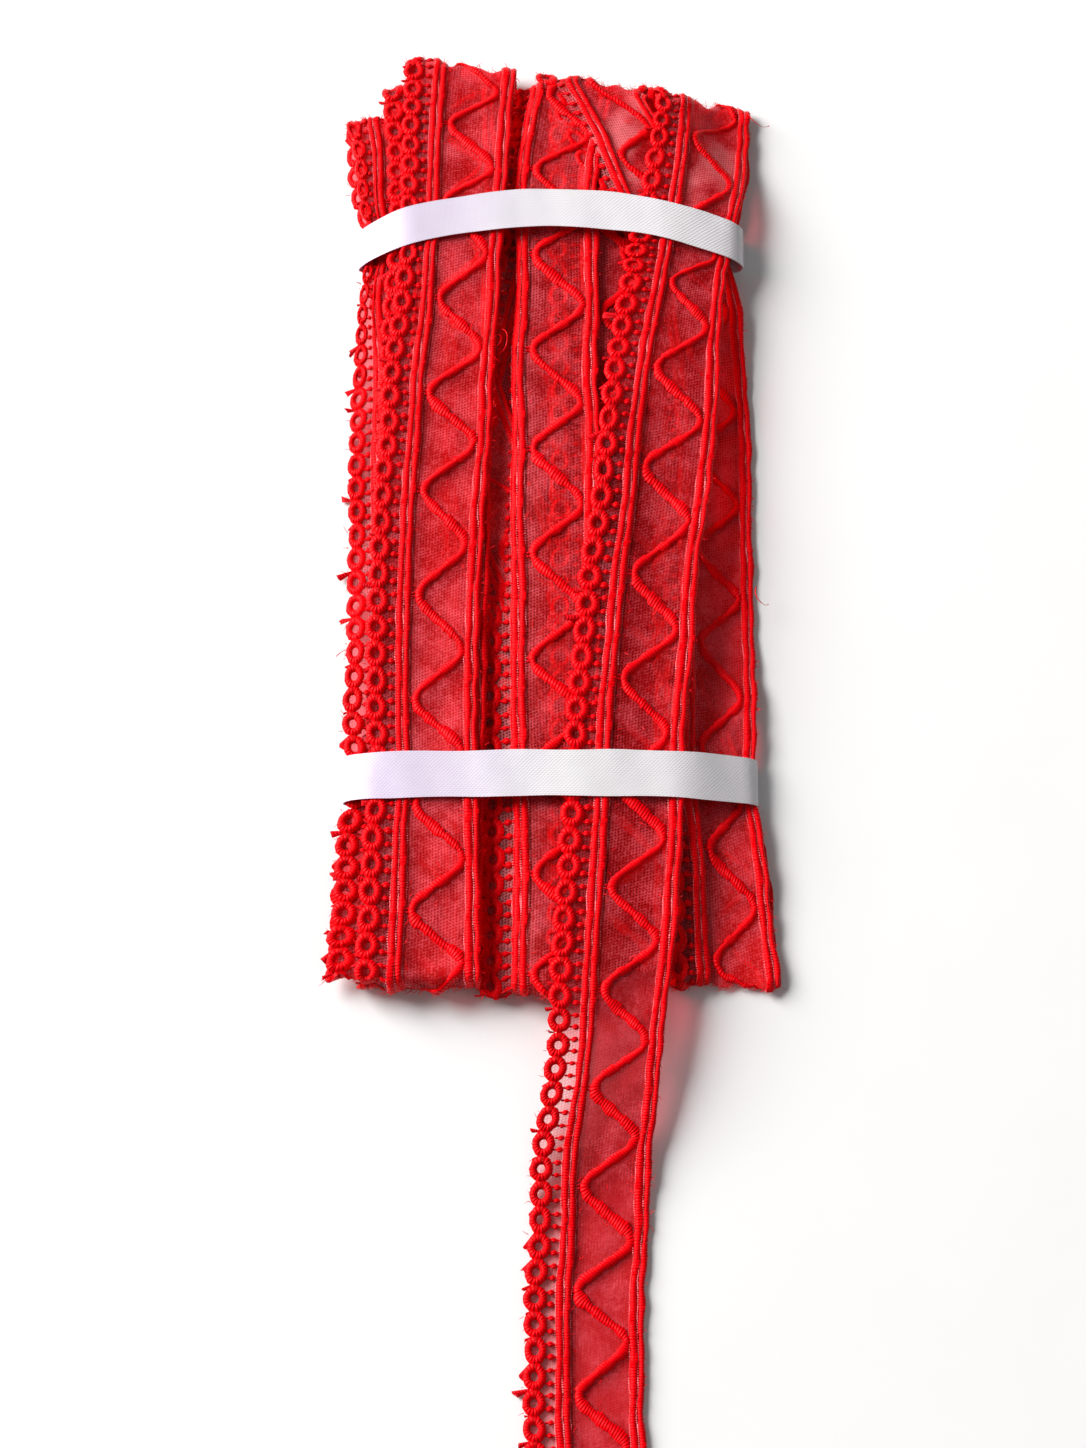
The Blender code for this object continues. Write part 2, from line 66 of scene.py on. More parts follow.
# How the passes lie on each other, in mm
FLAT_SIDE = 0.5
GROUND = 0.5
RING_TOP = 0.95
LAYER_GAP = 0.35
SMOOTH_ALONG = 12.0
SMOOTH_ACROSS = 9.0
MAP_WEST, MAP_EAST, MAP_STEP_X = -92.0, 96.0, 1.0
MAP_SOUTH, MAP_NORTH, MAP_STEP_Y = -330.0, 180.0, 2.5
BACK_ROWS = 13
LAY_STEP = 2.0
REPEATS_PAST_END = 4
TAIL_REPEATS = 5.0
TURN_REACH = 1.3
TURN_REACH_STEP = 0.35
TAIL_END = -307.0
TAIL_DROP = 76.0
BUNDLE_FOOT = -150.0
STACK_AT_FOOT = 9.5
FREE_END = -138.0
BACK_LIFT = 0.25
BACK_PRESS = 0.6
FOLD_STEP = 0.75
DROOP_FROM, DROOP_OVER = 50.0, 110.0
DROOP_INSIDE, DROOP_WIDTH = 1.0, 7.0
DROOP_ABOVE, DROOP_RISE = 3.0, 3.0
DROOP_FLOOR = 2.2
CRUMPLE = 1.2
CRUMPLE_REACH = 10.0

# A front pass: its fold line at the top (at the ring edge and at the right edge), its fold
# line at the foot, its rows, the y of each turn of the zigzag next to the left rail, whether
# its embroidery stands up under the next pass, and how far its ring margin sinks into the gap
# beside it (at the top and at the foot). A row is its y, the x of the left rail, how far the
# pattern is spread, and how far the ring margin is spread.
Front = namedtuple("Front", "top_left top_right foot rows apexes raised droop")

FRONT_PASSES = [
    Front(155.5, 155.5, -144.0, [
        (150, 9.6, 0.97, 1.0), (0, 10.6, 0.97, 1.0), (-150, 9.6, 0.97, 1.0),
    ], [140, 107, 74, 41, 8, -25, -58, -91, -124], False, (0.0, 0.0)),
    Front(144.0, 147.6, -145.9, [
        (147, -59.9, 1.0, 0.75), (130, -58.0, 1.0, 0.62), (108, -57.5, 1.0, 0.50),
        (84, -57.6, 1.0, 0.44), (50, -56.4, 1.0, 0.72), (0, -55.8, 1.0, 0.80),
        (-60, -55.0, 1.0, 0.90), (-108, -55.0, 1.0, 1.05), (-148, -55.6, 1.0, 1.20),
    ], [144.5, 115, 85.5, 57.5, 28.1, -4.3, -37.3, -69.5, -101.5, -131.1], True, (0.0, 0.0)),
    Front(157.8, 152.7, -151.6, [
        (158, -4.8, 0.98, 0.80), (144, -7.9, 0.99, 0.75), (122, -11.3, 0.98, 0.65),
        (97, -10.6, 0.97, 0.60), (60, -12.0, 1.0, 0.60), (20, -12.1, 1.03, 0.66),
        (-37, -11.8, 1.0, 0.99), (-90, -10.9, 1.0, 1.02), (-152, -11.0, 0.98, 1.0),
    ], [152, 124.8, 94, 60.6, 26.1, -9.8, -44.9, -79.8, -114.7, -146.5], True, (7.5, 1.2)),
    Front(154.9, 154.9, -147.8, [
        (155, -44.2, 0.97, 0.95), (113, -42.8, 0.95, 0.95), (45, -44.6, 0.97, 0.95),
        (-57, -46.2, 0.96, 0.95), (-150, -47.8, 0.96, 0.95),
    ], [141, 112, 78, 45, 12, -24, -59, -92, -127], False, (0.0, 0.0)),
    Front(160.7, 153.1, -147.8, [
        (161, 2.8, 0.85, 0.88), (140, 13.0, 0.85, 0.88), (121, 20.0, 0.87, 0.88),
        (104, 28.0, 0.92, 0.88), (88, 34.2, 0.92, 0.88), (69, 37.6, 0.89, 0.86),
        (44, 39.5, 0.86, 0.86), (0, 40.5, 0.85, 0.86), (-60, 40.7, 0.84, 0.86),
        (-92, 41.6, 0.82, 0.86), (-118, 43.7, 0.86, 0.86), (-150, 44.4, 0.95, 0.86),
    ], [158, 128.1, 94.6, 61.6, 28.7, -4, -36.6, -71, -104.9, -140.2], True, (3.0, 1.5)),
    Front(165.8, 161.4, -149.7, [
        (166, -36.6, 0.98, 0.97), (132, -39.3, 0.96, 0.88), (94, -40.2, 0.91, 0.86),
        (68, -42.0, 0.92, 0.90), (38, -44.6, 0.96, 0.92), (9, -46.1, 0.96, 0.92),
        (-24, -47.7, 0.94, 0.92), (-72, -47.4, 0.92, 0.92), (-110, -48.3, 0.97, 0.95),
        (-150, -49.0, 1.04, 0.98),
    ], [167, 140.8, 111.7, 77.8, 45, 11.7, -23.8, -58.7, -92.1, -126.6], True, (0.0, 0.0)),
    Front(153.1, 149.4, TAIL_END, [
        (153, 43.0, 0.83, 0.80), (114, 38.5, 0.84, 0.98), (84, 33.6, 0.82, 1.05),
        (60, 28.4, 0.93, 1.0), (36, 25.5, 1.02, 0.95), (-8, 20.8, 0.97, 1.0), (-38, 17.3, 1.0, 1.0),
        (-72, 14.8, 0.99, 1.0), (-110, 12.5, 1.01, 1.0), (-140, 10.9, 0.99, 1.0),
        (-163, 9.3, 0.92, 0.96), (-199, 4.7, 0.96, 0.96), (-239, 2.5, 0.95, 0.96),
        (-268, 1.6, 0.95, 0.96), (-310, 3.7, 0.94, 0.96),
    ], [158, 135.8, 104.7, 84.2, 54.5, 19.7, -16.7, -51.9, -85.8, -119.5, -152,
        -181.3, -210.8, -242.4, -274.1, -304.7], True, (0.0, 0.0)),
]

# A tie band: y of its sides, how far its middle is pushed up the bundle, and its width
Band = namedtuple("Band", "name node side rise width")
BANDS = [
    Band("upper_band", "band_upper", 98.0, 11.0, 13.2),
    Band("lower_band", "band_lower", -83.2, 0.0, 15.0),
]
BAND_THICKNESS = 1.0
BAND_CLEARANCE = 0.4
BAND_MARGIN = 3.0
BUNDLE_HALF = 64.0
RIBBON_FACETS = 120
RIBBON_ROWS = 6
RIBBON_THICKNESS = 0.35
RIBBON_CLEARANCE = 0.45
RIBBON_EASE = 2
RIBBON_SIDE = 1.1
LOOP_DEGREES = 0.5
SAMPLES_ALONG, SAMPLES_ACROSS = 300, 9
UNDER_RISE = 0.55
TOP_FROM, TOP_OVER = 3.0, 5.0

# How far the bands draw the sides of the bundle in, and over what part of it
DRAWN_LEFT, DRAWN_RIGHT = 2.3, 0.3
DRAWN_FROM, DRAWN_OVER = -30.0, 38.0
DRAWN_LENGTH = 12.0

# How finely the embroidery is made: where it shows (True), and where it lies under (False)
CLOTH_ROWS = {True: 22, False: 11}
RAIL_FACETS = {True: (7, 30), False: (5, 12)}
ZIGZAG_FACETS = {True: (8, 46), False: (5, 22)}
RING_FACETS = {True: (22, 6), False: (14, 4)}
CLOTH_COLUMNS = 25

# The embroidery, in mm. A rail cord is its distance across, its height, and half its width
# and thickness.
CLOTH_RIGHT = 37.3
NET_BITE, NET_BITE_LENGTH = 2.4, 0.44
END_TRIM = 0.3
LEFT_CORDS = [(11.4, 0.32, 1.14, 0.80), (13.75, 0.32, 1.08, 0.80)]
RIGHT_CORDS = [(34.55, 0.32, 1.22, 0.74), (36.95, 0.30, 0.96, 0.72)]
RAIL_SWELL, ZIGZAG_SWELL = 0.08, 0.03
RAIL_ROUGH = 0.11
ZIGZAG_HALF = 1.22
ZIGZAG_AT_TAIL = 0.26
ZIGZAG_WIDER = 0.26
ZIGZAG_THICK = 0.66
ZIGZAG_LIFT = 0.30
ZIGZAG_SWAY = 0.36
ZIGZAG_SLANT = 0.35
STEP_LENGTH, LUMP_LENGTH, STITCH_LENGTH = 2.1, 4.7, 1.05
STEP_SIZE, LUMP_SIZE, STITCH_SIZE = 0.22, 0.16, 0.32
RING_RADIUS, RING_CORD = 2.72, 1.38
RING_SHAPE = (0.90, 1.10, 0.70)
RING_LIFT = 0.25
BEAD_LINE = 8.65
BEAD_RADIUS = 1.0
BEAD_SHAPE = (1.12, 1.0, 0.70)
BAR_RADIUS = 0.34
BAR_FROM, BAR_TO = 6.9, 11.2
TIE_RADIUS = 0.22
TIE_LIFT = 0.22
TIE_KNOT = (1.0, 1.9, 1.9)
TIE_ROOM = 0.8
TUFT_LINE = 2.4
TUFT_HALF = 2.1
TUFT_BLUNT, TUFT_NECK = 1.05, 0.45
TUFT_LIFT = 0.05
THREAD_RADIUS = 0.19

# Ties of the zigzag: the distance across, aside along the trim, the length, and the phase
TIES = [
    (ZIGZAG_LEFT - ZIGZAG_HALF - 0.6, -0.55, 2.2, 0.0),
    (ZIGZAG_LEFT - ZIGZAG_HALF - 0.6, 0.55, 2.2, 0.0),
    (ZIGZAG_RIGHT + ZIGZAG_HALF + 0.2, -0.45, 1.6, 0.5),
    (ZIGZAG_RIGHT + ZIGZAG_HALF + 0.2, 0.50, 1.6, 0.5),
]

# Rows of fine pale stitches, pale pink as painted highlights along the edges of the cords: the distance
# across, the height and the size of a stitch
GLINT_ROWS = [(10.20, 0.56, 0.19), (12.55, 0.74, 0.22), (14.95, 0.44, 0.16), (33.25, 0.58, 0.19),
              (35.85, 0.72, 0.21)]
GLINT_PITCH = 0.75
GLINT_LENGTH = 2.4

# Stray fibres, and where they stand: the distance across, and to which side (0 for either)
FIBRES = 3200
TURN_FIBRES = 800
FIBRE_RADIUS = 0.15
FIBRE_LIFT = 0.25
FIBRE_EDGES = [(0.2, -1), (0.6, -1), (10.3, -1), (14.8, 1), (16.6, 0), (24.5, 0), (31.8, 0),
               (33.4, -1), (37.7, 1), (37.7, 1)]

# Loose threads, in mm: from, to, how wide they curl, and how often
LOOSE_THREADS = [
    ((-23.5, 68.0, 15.6), (-13.5, 57.0, 15.0), 3.2, 1.7),
    ((-20.5, 55.0, 15.3), (-15.0, 66.0, 15.2), 2.0, 1.2),
    ((62.5, -19.0, 7.2), (64.5, -24.0, 5.2), 1.3, 0.8),
    ((62.0, 146.0, 8.0), (66.5, 140.0, 7.0), 1.6, 0.7),
    ((-64.0, -40.0, 9.0), (-68.2, -44.0, 8.0), 1.2, 0.8),
]

# Threads: the darkest and the brightest colour (the dark partly painted shade in the grooves between
# the strands), the pitch of the strands and the roughness
THREADS = {
    "red_thread": ((0.50, 0.0, 0.001, 1), (0.89, 0.0, 0.004, 1), 0.98, 0.40),
    "red_fine_thread": ((0.48, 0.0, 0.001, 1), (0.88, 0.0, 0.005, 1), 0.9, 0.40),
    "dark_thread": ((0.32, 0.0, 0.002, 1), (0.74, 0.0, 0.006, 1), 0.8, 0.5),
    # The glint thread is pale pink: the painted highlight of the rows of pale stitches
    "glint_thread": ((0.85, 0.08, 0.10, 1), (1.0, 0.28, 0.31, 1), 0.7, 0.3),
}

# The sheer cloth: its colours in the shade and in the light, and the colour of the light that comes
# through it in the tail, in the bundle, and in a painted shade where shadowed layers lie under it
WEAVE_PITCH = 0.95
WEAVE_SLANT = 0.35
PANEL_COLOURS = ((0.76, 0.001, 0.006, 1), (0.98, 0.085, 0.115, 1))
NET_COLOURS = ((0.50, 0.01, 0.02, 1), (0.82, 0.11, 0.14, 1))
# A pale patch of painted light, where the crumpled cloth catches the light near the top right
PAINTED_LIGHT_PATCH = (0.92, 0.17, 0.19, 1)
THROUGH_TAIL = (0.66, 0.130, 0.150, 1)
THROUGH_BUNDLE = (0.93, 0.085, 0.115, 1)
THROUGH_PAINTED_SHADE = (0.78, 0.05, 0.075, 1)
NET_IN_TAIL = (1.0, 0.70, 0.71, 1)
NET_IN_BUNDLE = (0.96, 0.25, 0.28, 1)

# The satin, lilac where its painted shade lies and white elsewhere, and the floor
SATIN_COLOURS = ((0.56, 0.45, 0.66, 1), (0.69, 0.675, 0.69, 1))
SATIN_TWILL, SATIN_RIB = 1.15, 0.7
FLOOR_COLOURS = ((0.775, 0.775, 0.775, 1), (0.795, 0.795, 0.795, 1))

# Where the camera looks, in mm, and from how far and how high
CAMERA_TARGET = (-4.3, -64.0, 5.0)
CAMERA_DISTANCE = 1500.0
CAMERA_ELEVATION = 70.0
CAMERA_LENS, CAMERA_SENSOR = 120.3, 36.0

# The studio, in metres and watts
FLOOR_SIZE, FLOOR_DROP = 6.0, -0.0005
SKY = 0.165
LAMP_AIM = (0.0, -0.03, 0.0)
LAMPS = [
    ("key_lamp", (-3.5, 1.7, 2.15), 3.0, 538.0, (1.0, 0.985, 0.975)),
    ("fill_lamp", (1.1, -0.6, 1.2), 1.2, 2.0, (0.97, 0.98, 1.0)),
]
CLEAR_LAYERS = 24


def smooth_step(share):
    share = np.clip(share, 0.0, 1.0)
    return share * share * (3.0 - 2.0 * share)


def scatter(number, salt=0.0):
    """A steady value from -1 to 1 for each whole number, with no pattern to it."""
    return np.modf(np.sin(np.asarray(number, float) * 12.9898 + salt * 4.1414) * 43758.5453)[0]


def through(places, values, at):
    """A smooth curve through a table's values, read at the places asked for."""
    order = np.argsort(places)
    xs = np.asarray(places, float)[order]
    ys = np.asarray(values, float)[order]
    slopes = np.gradient(ys, xs)
    at = np.clip(at, xs[0], xs[-1])
    i = np.clip(np.searchsorted(xs, at) - 1, 0, len(xs) - 2)
    span = xs[i + 1] - xs[i]
    s = (at - xs[i]) / span
    return ((2 * s ** 3 - 3 * s ** 2 + 1) * ys[i] + (s ** 3 - 2 * s ** 2 + s) * span * slopes[i]
            + (3 * s ** 2 - 2 * s ** 3) * ys[i + 1] + (s ** 3 - s ** 2) * span * slopes[i + 1])


def between(grid, row, column):
    """Reads a grid between its points."""
    a = np.minimum(row.astype(int), grid.shape[0] - 2)
    b = np.minimum(column.astype(int), grid.shape[1] - 2)
    i, j = row - a, column - b
    if grid.ndim == 3:
        i, j = i[:, None], j[:, None]
    near = grid[a, b] * (1 - j) + grid[a, b + 1] * j
    far = grid[a + 1, b] * (1 - j) + grid[a + 1, b + 1] * j
    return near * (1 - i) + far * i


def shifted(grid, axis, count):
    """A grid moved by each number of cells up to count either way, with its edges held."""
    pad = [(0, 0), (0, 0)]
    pad[axis] = (count, count)
    wide = np.pad(grid, pad, mode="edge")
    return [np.take(wide, range(k, k + grid.shape[axis]), axis) for k in range(2 * count + 1)]


def spread_max(grid, rows, columns):
    for axis, count in ((0, rows), (1, columns)):
        grid = np.max(shifted(grid, axis, count), axis=0)
    return grid


def average(grid, rows, columns):
    for axis, count in ((0, rows), (1, columns)):
        grid = sum(shifted(grid, axis, count)) / (2 * count + 1)
    return grid


def turn_reach(turn):
    """How far turn number 1 to 7 bulges past the ends of its two passes."""
    return TURN_REACH + TURN_REACH_STEP * turn


def zigzag_line(phase):
    """Distance of the zigzag cord from the ring edge, where phase 0 is next to the left rail."""
    turn = np.abs((np.asarray(phase) + 0.5) % 1.0 - 0.5) * 2.0
    w = ZIGZAG_ROUNDING

    def rounded(q):
        return np.where(q < w, q * q / (2 * w), q - w / 2)

    share = np.where(turn < 0.5, rounded(turn), 1 - w - rounded(1 - turn)) / (1 - w)
    return ZIGZAG_LEFT + (ZIGZAG_RIGHT - ZIGZAG_LEFT) * share


class Pass:
    """One run of the trim along the bundle. Share 0 is where it starts, share 1 its end."""

    def __init__(self, start_line, end_line, table, apexes, front=None):
        self.start_line, self.end_line = start_line, end_line
        self.table, self.apexes = table, apexes
        self.raised_up = front is not None
        self.droop = front.droop if front else (0.0, 0.0)
        self.above = RING_TOP if front and front.raised else GROUND
        self.press = 1.0 if front else BACK_PRESS

    def y(self, share, across):
        across = np.asarray(across) / WIDTH
        start = self.start_line[0] + (self.start_line[1] - self.start_line[0]) * across
        end = self.end_line[0] + (self.end_line[1] - self.end_line[0]) * across
        return start + (end - start) * share

    def x(self, y, across):
        rail, spread, margin = (through(self.table[0], column, y) for column in self.table[1:])
        offset = np.asarray(across) - LEFT_RAIL
        x = rail + offset * np.where(offset < 0, margin, spread)
        near = sum(np.exp(-((y - band.side - band.rise / 4) / DRAWN_LENGTH) ** 2) for band in BANDS)
        left = smooth_step((DRAWN_FROM - x) / DRAWN_OVER)
        right = smooth_step((x + DRAWN_FROM) / DRAWN_OVER)
        return x + near * (DRAWN_LEFT * left - DRAWN_RIGHT * right)

    def phase(self, y):
        """Which repeat of the pattern is at y: whole numbers are turns at the left rail."""
        ys = np.array(self.apexes, float)
        more = REPEATS_PAST_END
        first = ys[0] + (ys[0] - ys[1]) * more
        last = ys[-1] + (ys[-1] - ys[-2]) * more
        places = np.concatenate([[last], ys[::-1], [first]])
        inner = np.arange(len(ys) - 1, -1, -1)
        numbers = np.concatenate([[len(ys) - 1 + more], inner, [-more]])
        return np.interp(y, places, numbers)

    def z(self, share, across):
        """Height of the laid cloth's middle."""
        rows, columns = self.heights.shape
        return between(self.heights, np.clip(share, 0, 1) * (rows - 1),
                       np.clip(across, 0, WIDTH) / WIDTH * (columns - 1))


def lay_out_passes():
    """Back pass 1, front pass 1, back pass 2 and so on, in the order of the trim."""
    passes = []
    for i, front in enumerate(FRONT_PASSES):
        reach = turn_reach(i + 1)
        top = (front.top_left - reach, front.top_right - reach)
        foot = front.foot if front is FRONT_PASSES[-1] else front.foot + reach
        columns = [np.array(column, float) for column in zip(*front.rows)]
        if i == 0:
            start_y = FREE_END
            start = [column[-1] for column in columns[1:]]
        else:
            before = passes[-1]
            start_y = before.end_line[0]
            start = [float(through(before.table[0], c, start_y)) for c in before.table[1:]]
        end_y = min(top)
        end = [float(through(columns[0], c, end_y)) for c in columns[1:]]
        ys = np.linspace(start_y, end_y, BACK_ROWS)
        lean = smooth_step((ys - start_y) / (end_y - start_y))
        table = [ys] + [a + (b - a) * lean for a, b in zip(start, end)]
        apexes = list(np.arange(end_y, start_y - REPEAT, -REPEAT))
        passes.append(Pass((start_y, start_y), top, table, apexes))
        passes.append(Pass(top, (foot, foot), columns, front.apexes, front))
    return passes


class Pile:
    """Height of everything laid so far, on a grid seen from above."""

    def __init__(self):
        self.xs = np.arange(MAP_WEST, MAP_EAST + MAP_STEP_X, MAP_STEP_X)
        self.ys = np.arange(MAP_SOUTH, MAP_NORTH + MAP_STEP_Y, MAP_STEP_Y)
        self.top = np.full((len(self.ys), len(self.xs)), -LAYER_GAP)
        for band in BANDS:
            rows = np.abs(self.ys - band.side) < band.width / 2 + BAND_MARGIN
            self.top[rows, :] = BAND_THICKNESS + BAND_CLEARANCE - LAYER_GAP

    def cells(self, x, y, spare):
        """Rows and columns of the grid at the places given, kept inside its edges."""
        return (np.clip((y - self.ys[0]) / MAP_STEP_Y, 0, len(self.ys) - spare),
                np.clip((x - self.xs[0]) / MAP_STEP_X, 0, len(self.xs) - spare))

    def under(self, x, y):
        return between(self.top, *self.cells(x, y, 1.001))

    def add(self, x, y, height):
        row, column = self.cells(x, y, 1)
        np.maximum.at(self.top, (np.rint(row).astype(int), np.rint(column).astype(int)), height)


def lay_down(run, pile):
    """Rests one pass on the pile, smooth over what is under it."""
    length = abs(np.mean(run.end_line) - np.mean(run.start_line))
    count = int(length / LAY_STEP) + 1
    share = np.linspace(0.0, 1.0, count)[:, None]
    across = np.linspace(0.0, WIDTH, int(WIDTH) + 1)[None, :]
    y = run.y(share, across)
    x = run.x(y, across)
    rows = int(round(SMOOTH_ALONG / LAY_STEP))
    columns = int(round(SMOOTH_ACROSS))
    rest = spread_max(pile.under(x, y), rows, columns)
    rest = average(average(rest, rows // 2, columns // 2), rows - rows // 2, columns - columns // 2)
    rest = rest + LAYER_GAP + FLAT_SIDE
    if run.end_line[0] == TAIL_END:
        drop = smooth_step((BUNDLE_FOOT - y) / TAIL_DROP)
        ramp = FLAT_SIDE + STACK_AT_FOOT * (1 - drop)
        rest = np.where(y < BUNDLE_FOOT, np.maximum(rest, ramp), rest)
    run.heights = rest
    spare = turn_reach(len(FRONT_PASSES)) / length
    share = np.linspace(-spare, 1 + spare, count * 3)[:, None]
    across = np.linspace(0.0, WIDTH, int(WIDTH) * 2 + 1)[None, :]
    s_all, a_all = np.broadcast_arrays(share, across)
    y = run.y(s_all, a_all)
    pile.add(run.x(y, a_all), y, run.z(s_all, a_all) + run.above)


def count_repeats(passes):
    """Repeat numbers at the start and end of each pass, in one running count."""
    spans = []
    at = 0.0
    for back, front in zip(passes[0::2], passes[1::2]):
        turn = len(spans) // 2 + 1
        start, end = (float(back.y(s, WIDTH / 2)) for s in (0.0, 1.0))
        own = float(front.phase(front.y(0.0, WIDTH / 2)))
        rise = float(np.mean(front.heights[0]) - np.mean(back.heights[-1])) / 2
        bend = math.pi * math.hypot(turn_reach(turn), rise) / math.sqrt(2) / REPEAT
        shift = round(at + abs(end - start) / REPEAT + bend - own)
        spans.append((at, shift + own - bend))
        finish = shift + float(front.phase(front.y(1.0, WIDTH / 2)))
        spans.append((shift + own, finish))
        front.shift = shift
        at = finish + bend
    return spans


class Fold:
    """The folded cloth as a grid: a place and a raised direction for each row along it."""

    def __init__(self, passes):
        self.spans = count_repeats(passes)
        self.end = self.spans[-1][1]
        count = int(self.end * REPEAT / FOLD_STEP) + 1
        self.repeats = np.linspace(0.0, self.end, count)
        self.across = np.linspace(0.0, WIDTH, int(WIDTH) + 1)
        self.place = np.empty((count, len(self.across), 3))
        self.press = np.ones(count)
        for number, run in enumerate(passes):
            begin, finish = self.spans[number]
            rows = np.flatnonzero((self.repeats >= begin) & (self.repeats <= finish))
            self.place[rows] = self.on_pass(run, self.repeats[rows], begin, finish)
            self.press[rows] = run.press
            if number + 1 < len(passes):
                self.turn_over(number, run, passes[number + 1])
        self.pucker()
        self.normal = np.cross(np.gradient(self.place, axis=0), np.gradient(self.place, axis=1))
        self.normal /= np.linalg.norm(self.normal, axis=-1, keepdims=True)

    def on_pass(self, run, repeats, begin, finish):
        if run.raised_up:
            ys = run.y(np.linspace(0.0, 1.0, PHASE_STEPS), WIDTH / 2)
            middle = np.interp(repeats - run.shift, run.phase(ys), ys)
            share = (middle - ys[0]) / (ys[-1] - ys[0])
        else:
            share = (repeats - begin) / (finish - begin)
        share = np.clip(share, 0.0, 1.0)[:, None]
        y = run.y(share, self.across[None, :])
        x = run.x(y, self.across[None, :])
        s_all, a_all = np.broadcast_arrays(share, self.across[None, :])
        z = run.z(s_all, a_all) + (0.0 if run.raised_up else BACK_LIFT)
        far, near = run.droop
        droop = near + (far - near) * smooth_step((y + DROOP_FROM) / DROOP_OVER)
        droop = droop * smooth_step((LEFT_RAIL - DROOP_INSIDE - a_all) / DROOP_WIDTH)
        sunk = z - droop * smooth_step((z - DROOP_ABOVE) / DROOP_RISE)
        return np.stack([x, y, np.maximum(sunk, np.minimum(z, DROOP_FLOOR))], axis=-1)

    def turn_over(self, number, run, after):
        """Rolls the cloth over from the end of one pass to the start of the next."""
        begin, finish = self.spans[number]
        next_begin, next_finish = self.spans[number + 1]
        rows = np.flatnonzero((self.repeats > finish) & (self.repeats < next_begin))
        lean = math.pi * (self.repeats[rows] - finish) / (next_begin - finish)
        low = self.on_pass(run, np.array([finish]), begin, finish)
        high = self.on_pass(after, np.array([next_begin]), next_begin, next_finish)
        share = (0.5 - 0.5 * np.cos(lean))[:, None, None]
        outward = 1.0 if after.raised_up else -1.0
        self.place[rows] = low * (1 - share) + high * share
        self.place[rows, :, 1] += outward * turn_reach(number // 2 + 1) * np.sin(lean)[:, None]
        self.press[rows] = run.press + (after.press - run.press) * share[:, 0, 0]

    def pucker(self):
        """Small waves that the stitching draws into the cloth, and the wander of its edges."""
        p = self.repeats[:, None] * REPEAT
        u = self.across[None, :]
        panel = np.exp(-((u - 24.5) / 8.0) ** 4)
        waves = (0.16 * np.sin(p / 3.1 + 1.3 * np.sin(u / 5.0) + 2.0 * np.sin(p / 41.0))
                 + 0.12 * np.sin(p / 5.7 + u / 3.3) + 0.10 * np.sin(u / 1.9 + 2.5 * np.sin(p / 29.0)))
        self.place[:, :, 2] += waves * panel * self.press[:, None]
        self.place[:, :, 0] += 0.28 * np.sin(p / 9.3 + 1.7 * np.sin(p / 37.0))
        edge = np.clip((u - 33.0) / 5.0, 0, 1)
        self.place[:, :, 0] += edge * 0.22 * np.sin(p / 2.7 + 2.0 * np.sin(p / 13.0))
        for number in range(0, len(self.spans) - 1):
            turn = (self.spans[number][1] + self.spans[number + 1][0]) / 2
            near = np.exp(-((self.repeats - turn) * REPEAT / CRUMPLE_REACH) ** 2)[:, None]
            salt = 1.7 * number
            ragged = (0.55 * np.sin(u / 2.3 + salt) + 0.45 * np.sin(u / 1.15 + 2.1 * salt)
                      + 0.40 * np.sin(u / 4.9 + 0.7 * salt))
            self.place[:, :, 1] += near * ragged * CRUMPLE
            self.place[:, :, 2] += near * self.press[:, None] * 0.5 * np.abs(ragged) * CRUMPLE

    def lay(self, flat):
        """Takes points of the flat pattern, in mm, to the folded trim, in metres."""
        rows, columns = self.press.size, self.across.size
        row = np.clip(flat[:, 1] / REPEAT / self.end * (rows - 1), 0, rows - 1.001)
        column = np.clip(flat[:, 0] / WIDTH * (columns - 1), 0, columns - 1.001)
        place, normal = between(self.place, row, column), between(self.normal, row, column)
        normal /= np.linalg.norm(normal, axis=-1, keepdims=True)
        press = np.interp(row, np.arange(rows), self.press)[:, None]
        place[:, :1] += flat[:, :1] - np.clip(flat[:, :1], 0, WIDTH)
        return (place + normal * flat[:, 2:3] * press) * MM

    def length(self):
        """Length of the trim along its middle, in metres."""
        middle = self.place[:, int(WIDTH / 2)]
        return float(np.linalg.norm(np.diff(middle, axis=0), axis=1).sum()) * MM

    def stretches(self):
        """Lengths of the trim in whole repeats: the first, how many, and whether they show."""
        plan, at = [], 0
        for number in range(3, len(self.spans), 2):
            low = math.floor(self.spans[number - 1][1])
            high = min(math.ceil(self.spans[number][1]), math.ceil(self.end))
            if low > at:
                plan.append((at, low - at, False))
            plan.append((low, high - low, True))
            at = high
        return plan


def deselect():
    for item in bpy.context.selected_objects:
        item.select_set(False)


def pick(piece):
    deselect()
    piece.select_set(True)
    bpy.context.view_layer.objects.active = piece


def added(name):
    """Names the primitive that was just added, and puts its place into its mesh."""
    piece = bpy.context.object
    piece.name = name
    piece.data.name = name
    pick(piece)
    bpy.ops.object.transform_apply(location=True, rotation=True, scale=True)
    return piece


def with_modifier(piece, kind, **settings):
    pick(piece)
    modifier = piece.modifiers.new(kind.lower(), kind)
    for key, value in settings.items():
        setattr(modifier, key, value)
    bpy.ops.object.modifier_apply(modifier=modifier.name)
    return piece


def repeated(piece, pitch, count, **settings):
    """The piece and its copies, one after the other along the trim."""
    return with_modifier(piece, "ARRAY", use_relative_offset=False, use_constant_offset=True,
                         constant_offset_displace=(0.0, pitch, 0.0), count=count, **settings)


def chained(piece, pitch, count):
    """Copies that are one length, merged where they meet."""
    return repeated(piece, pitch, count, use_merge_vertices=True, merge_threshold=0.004)


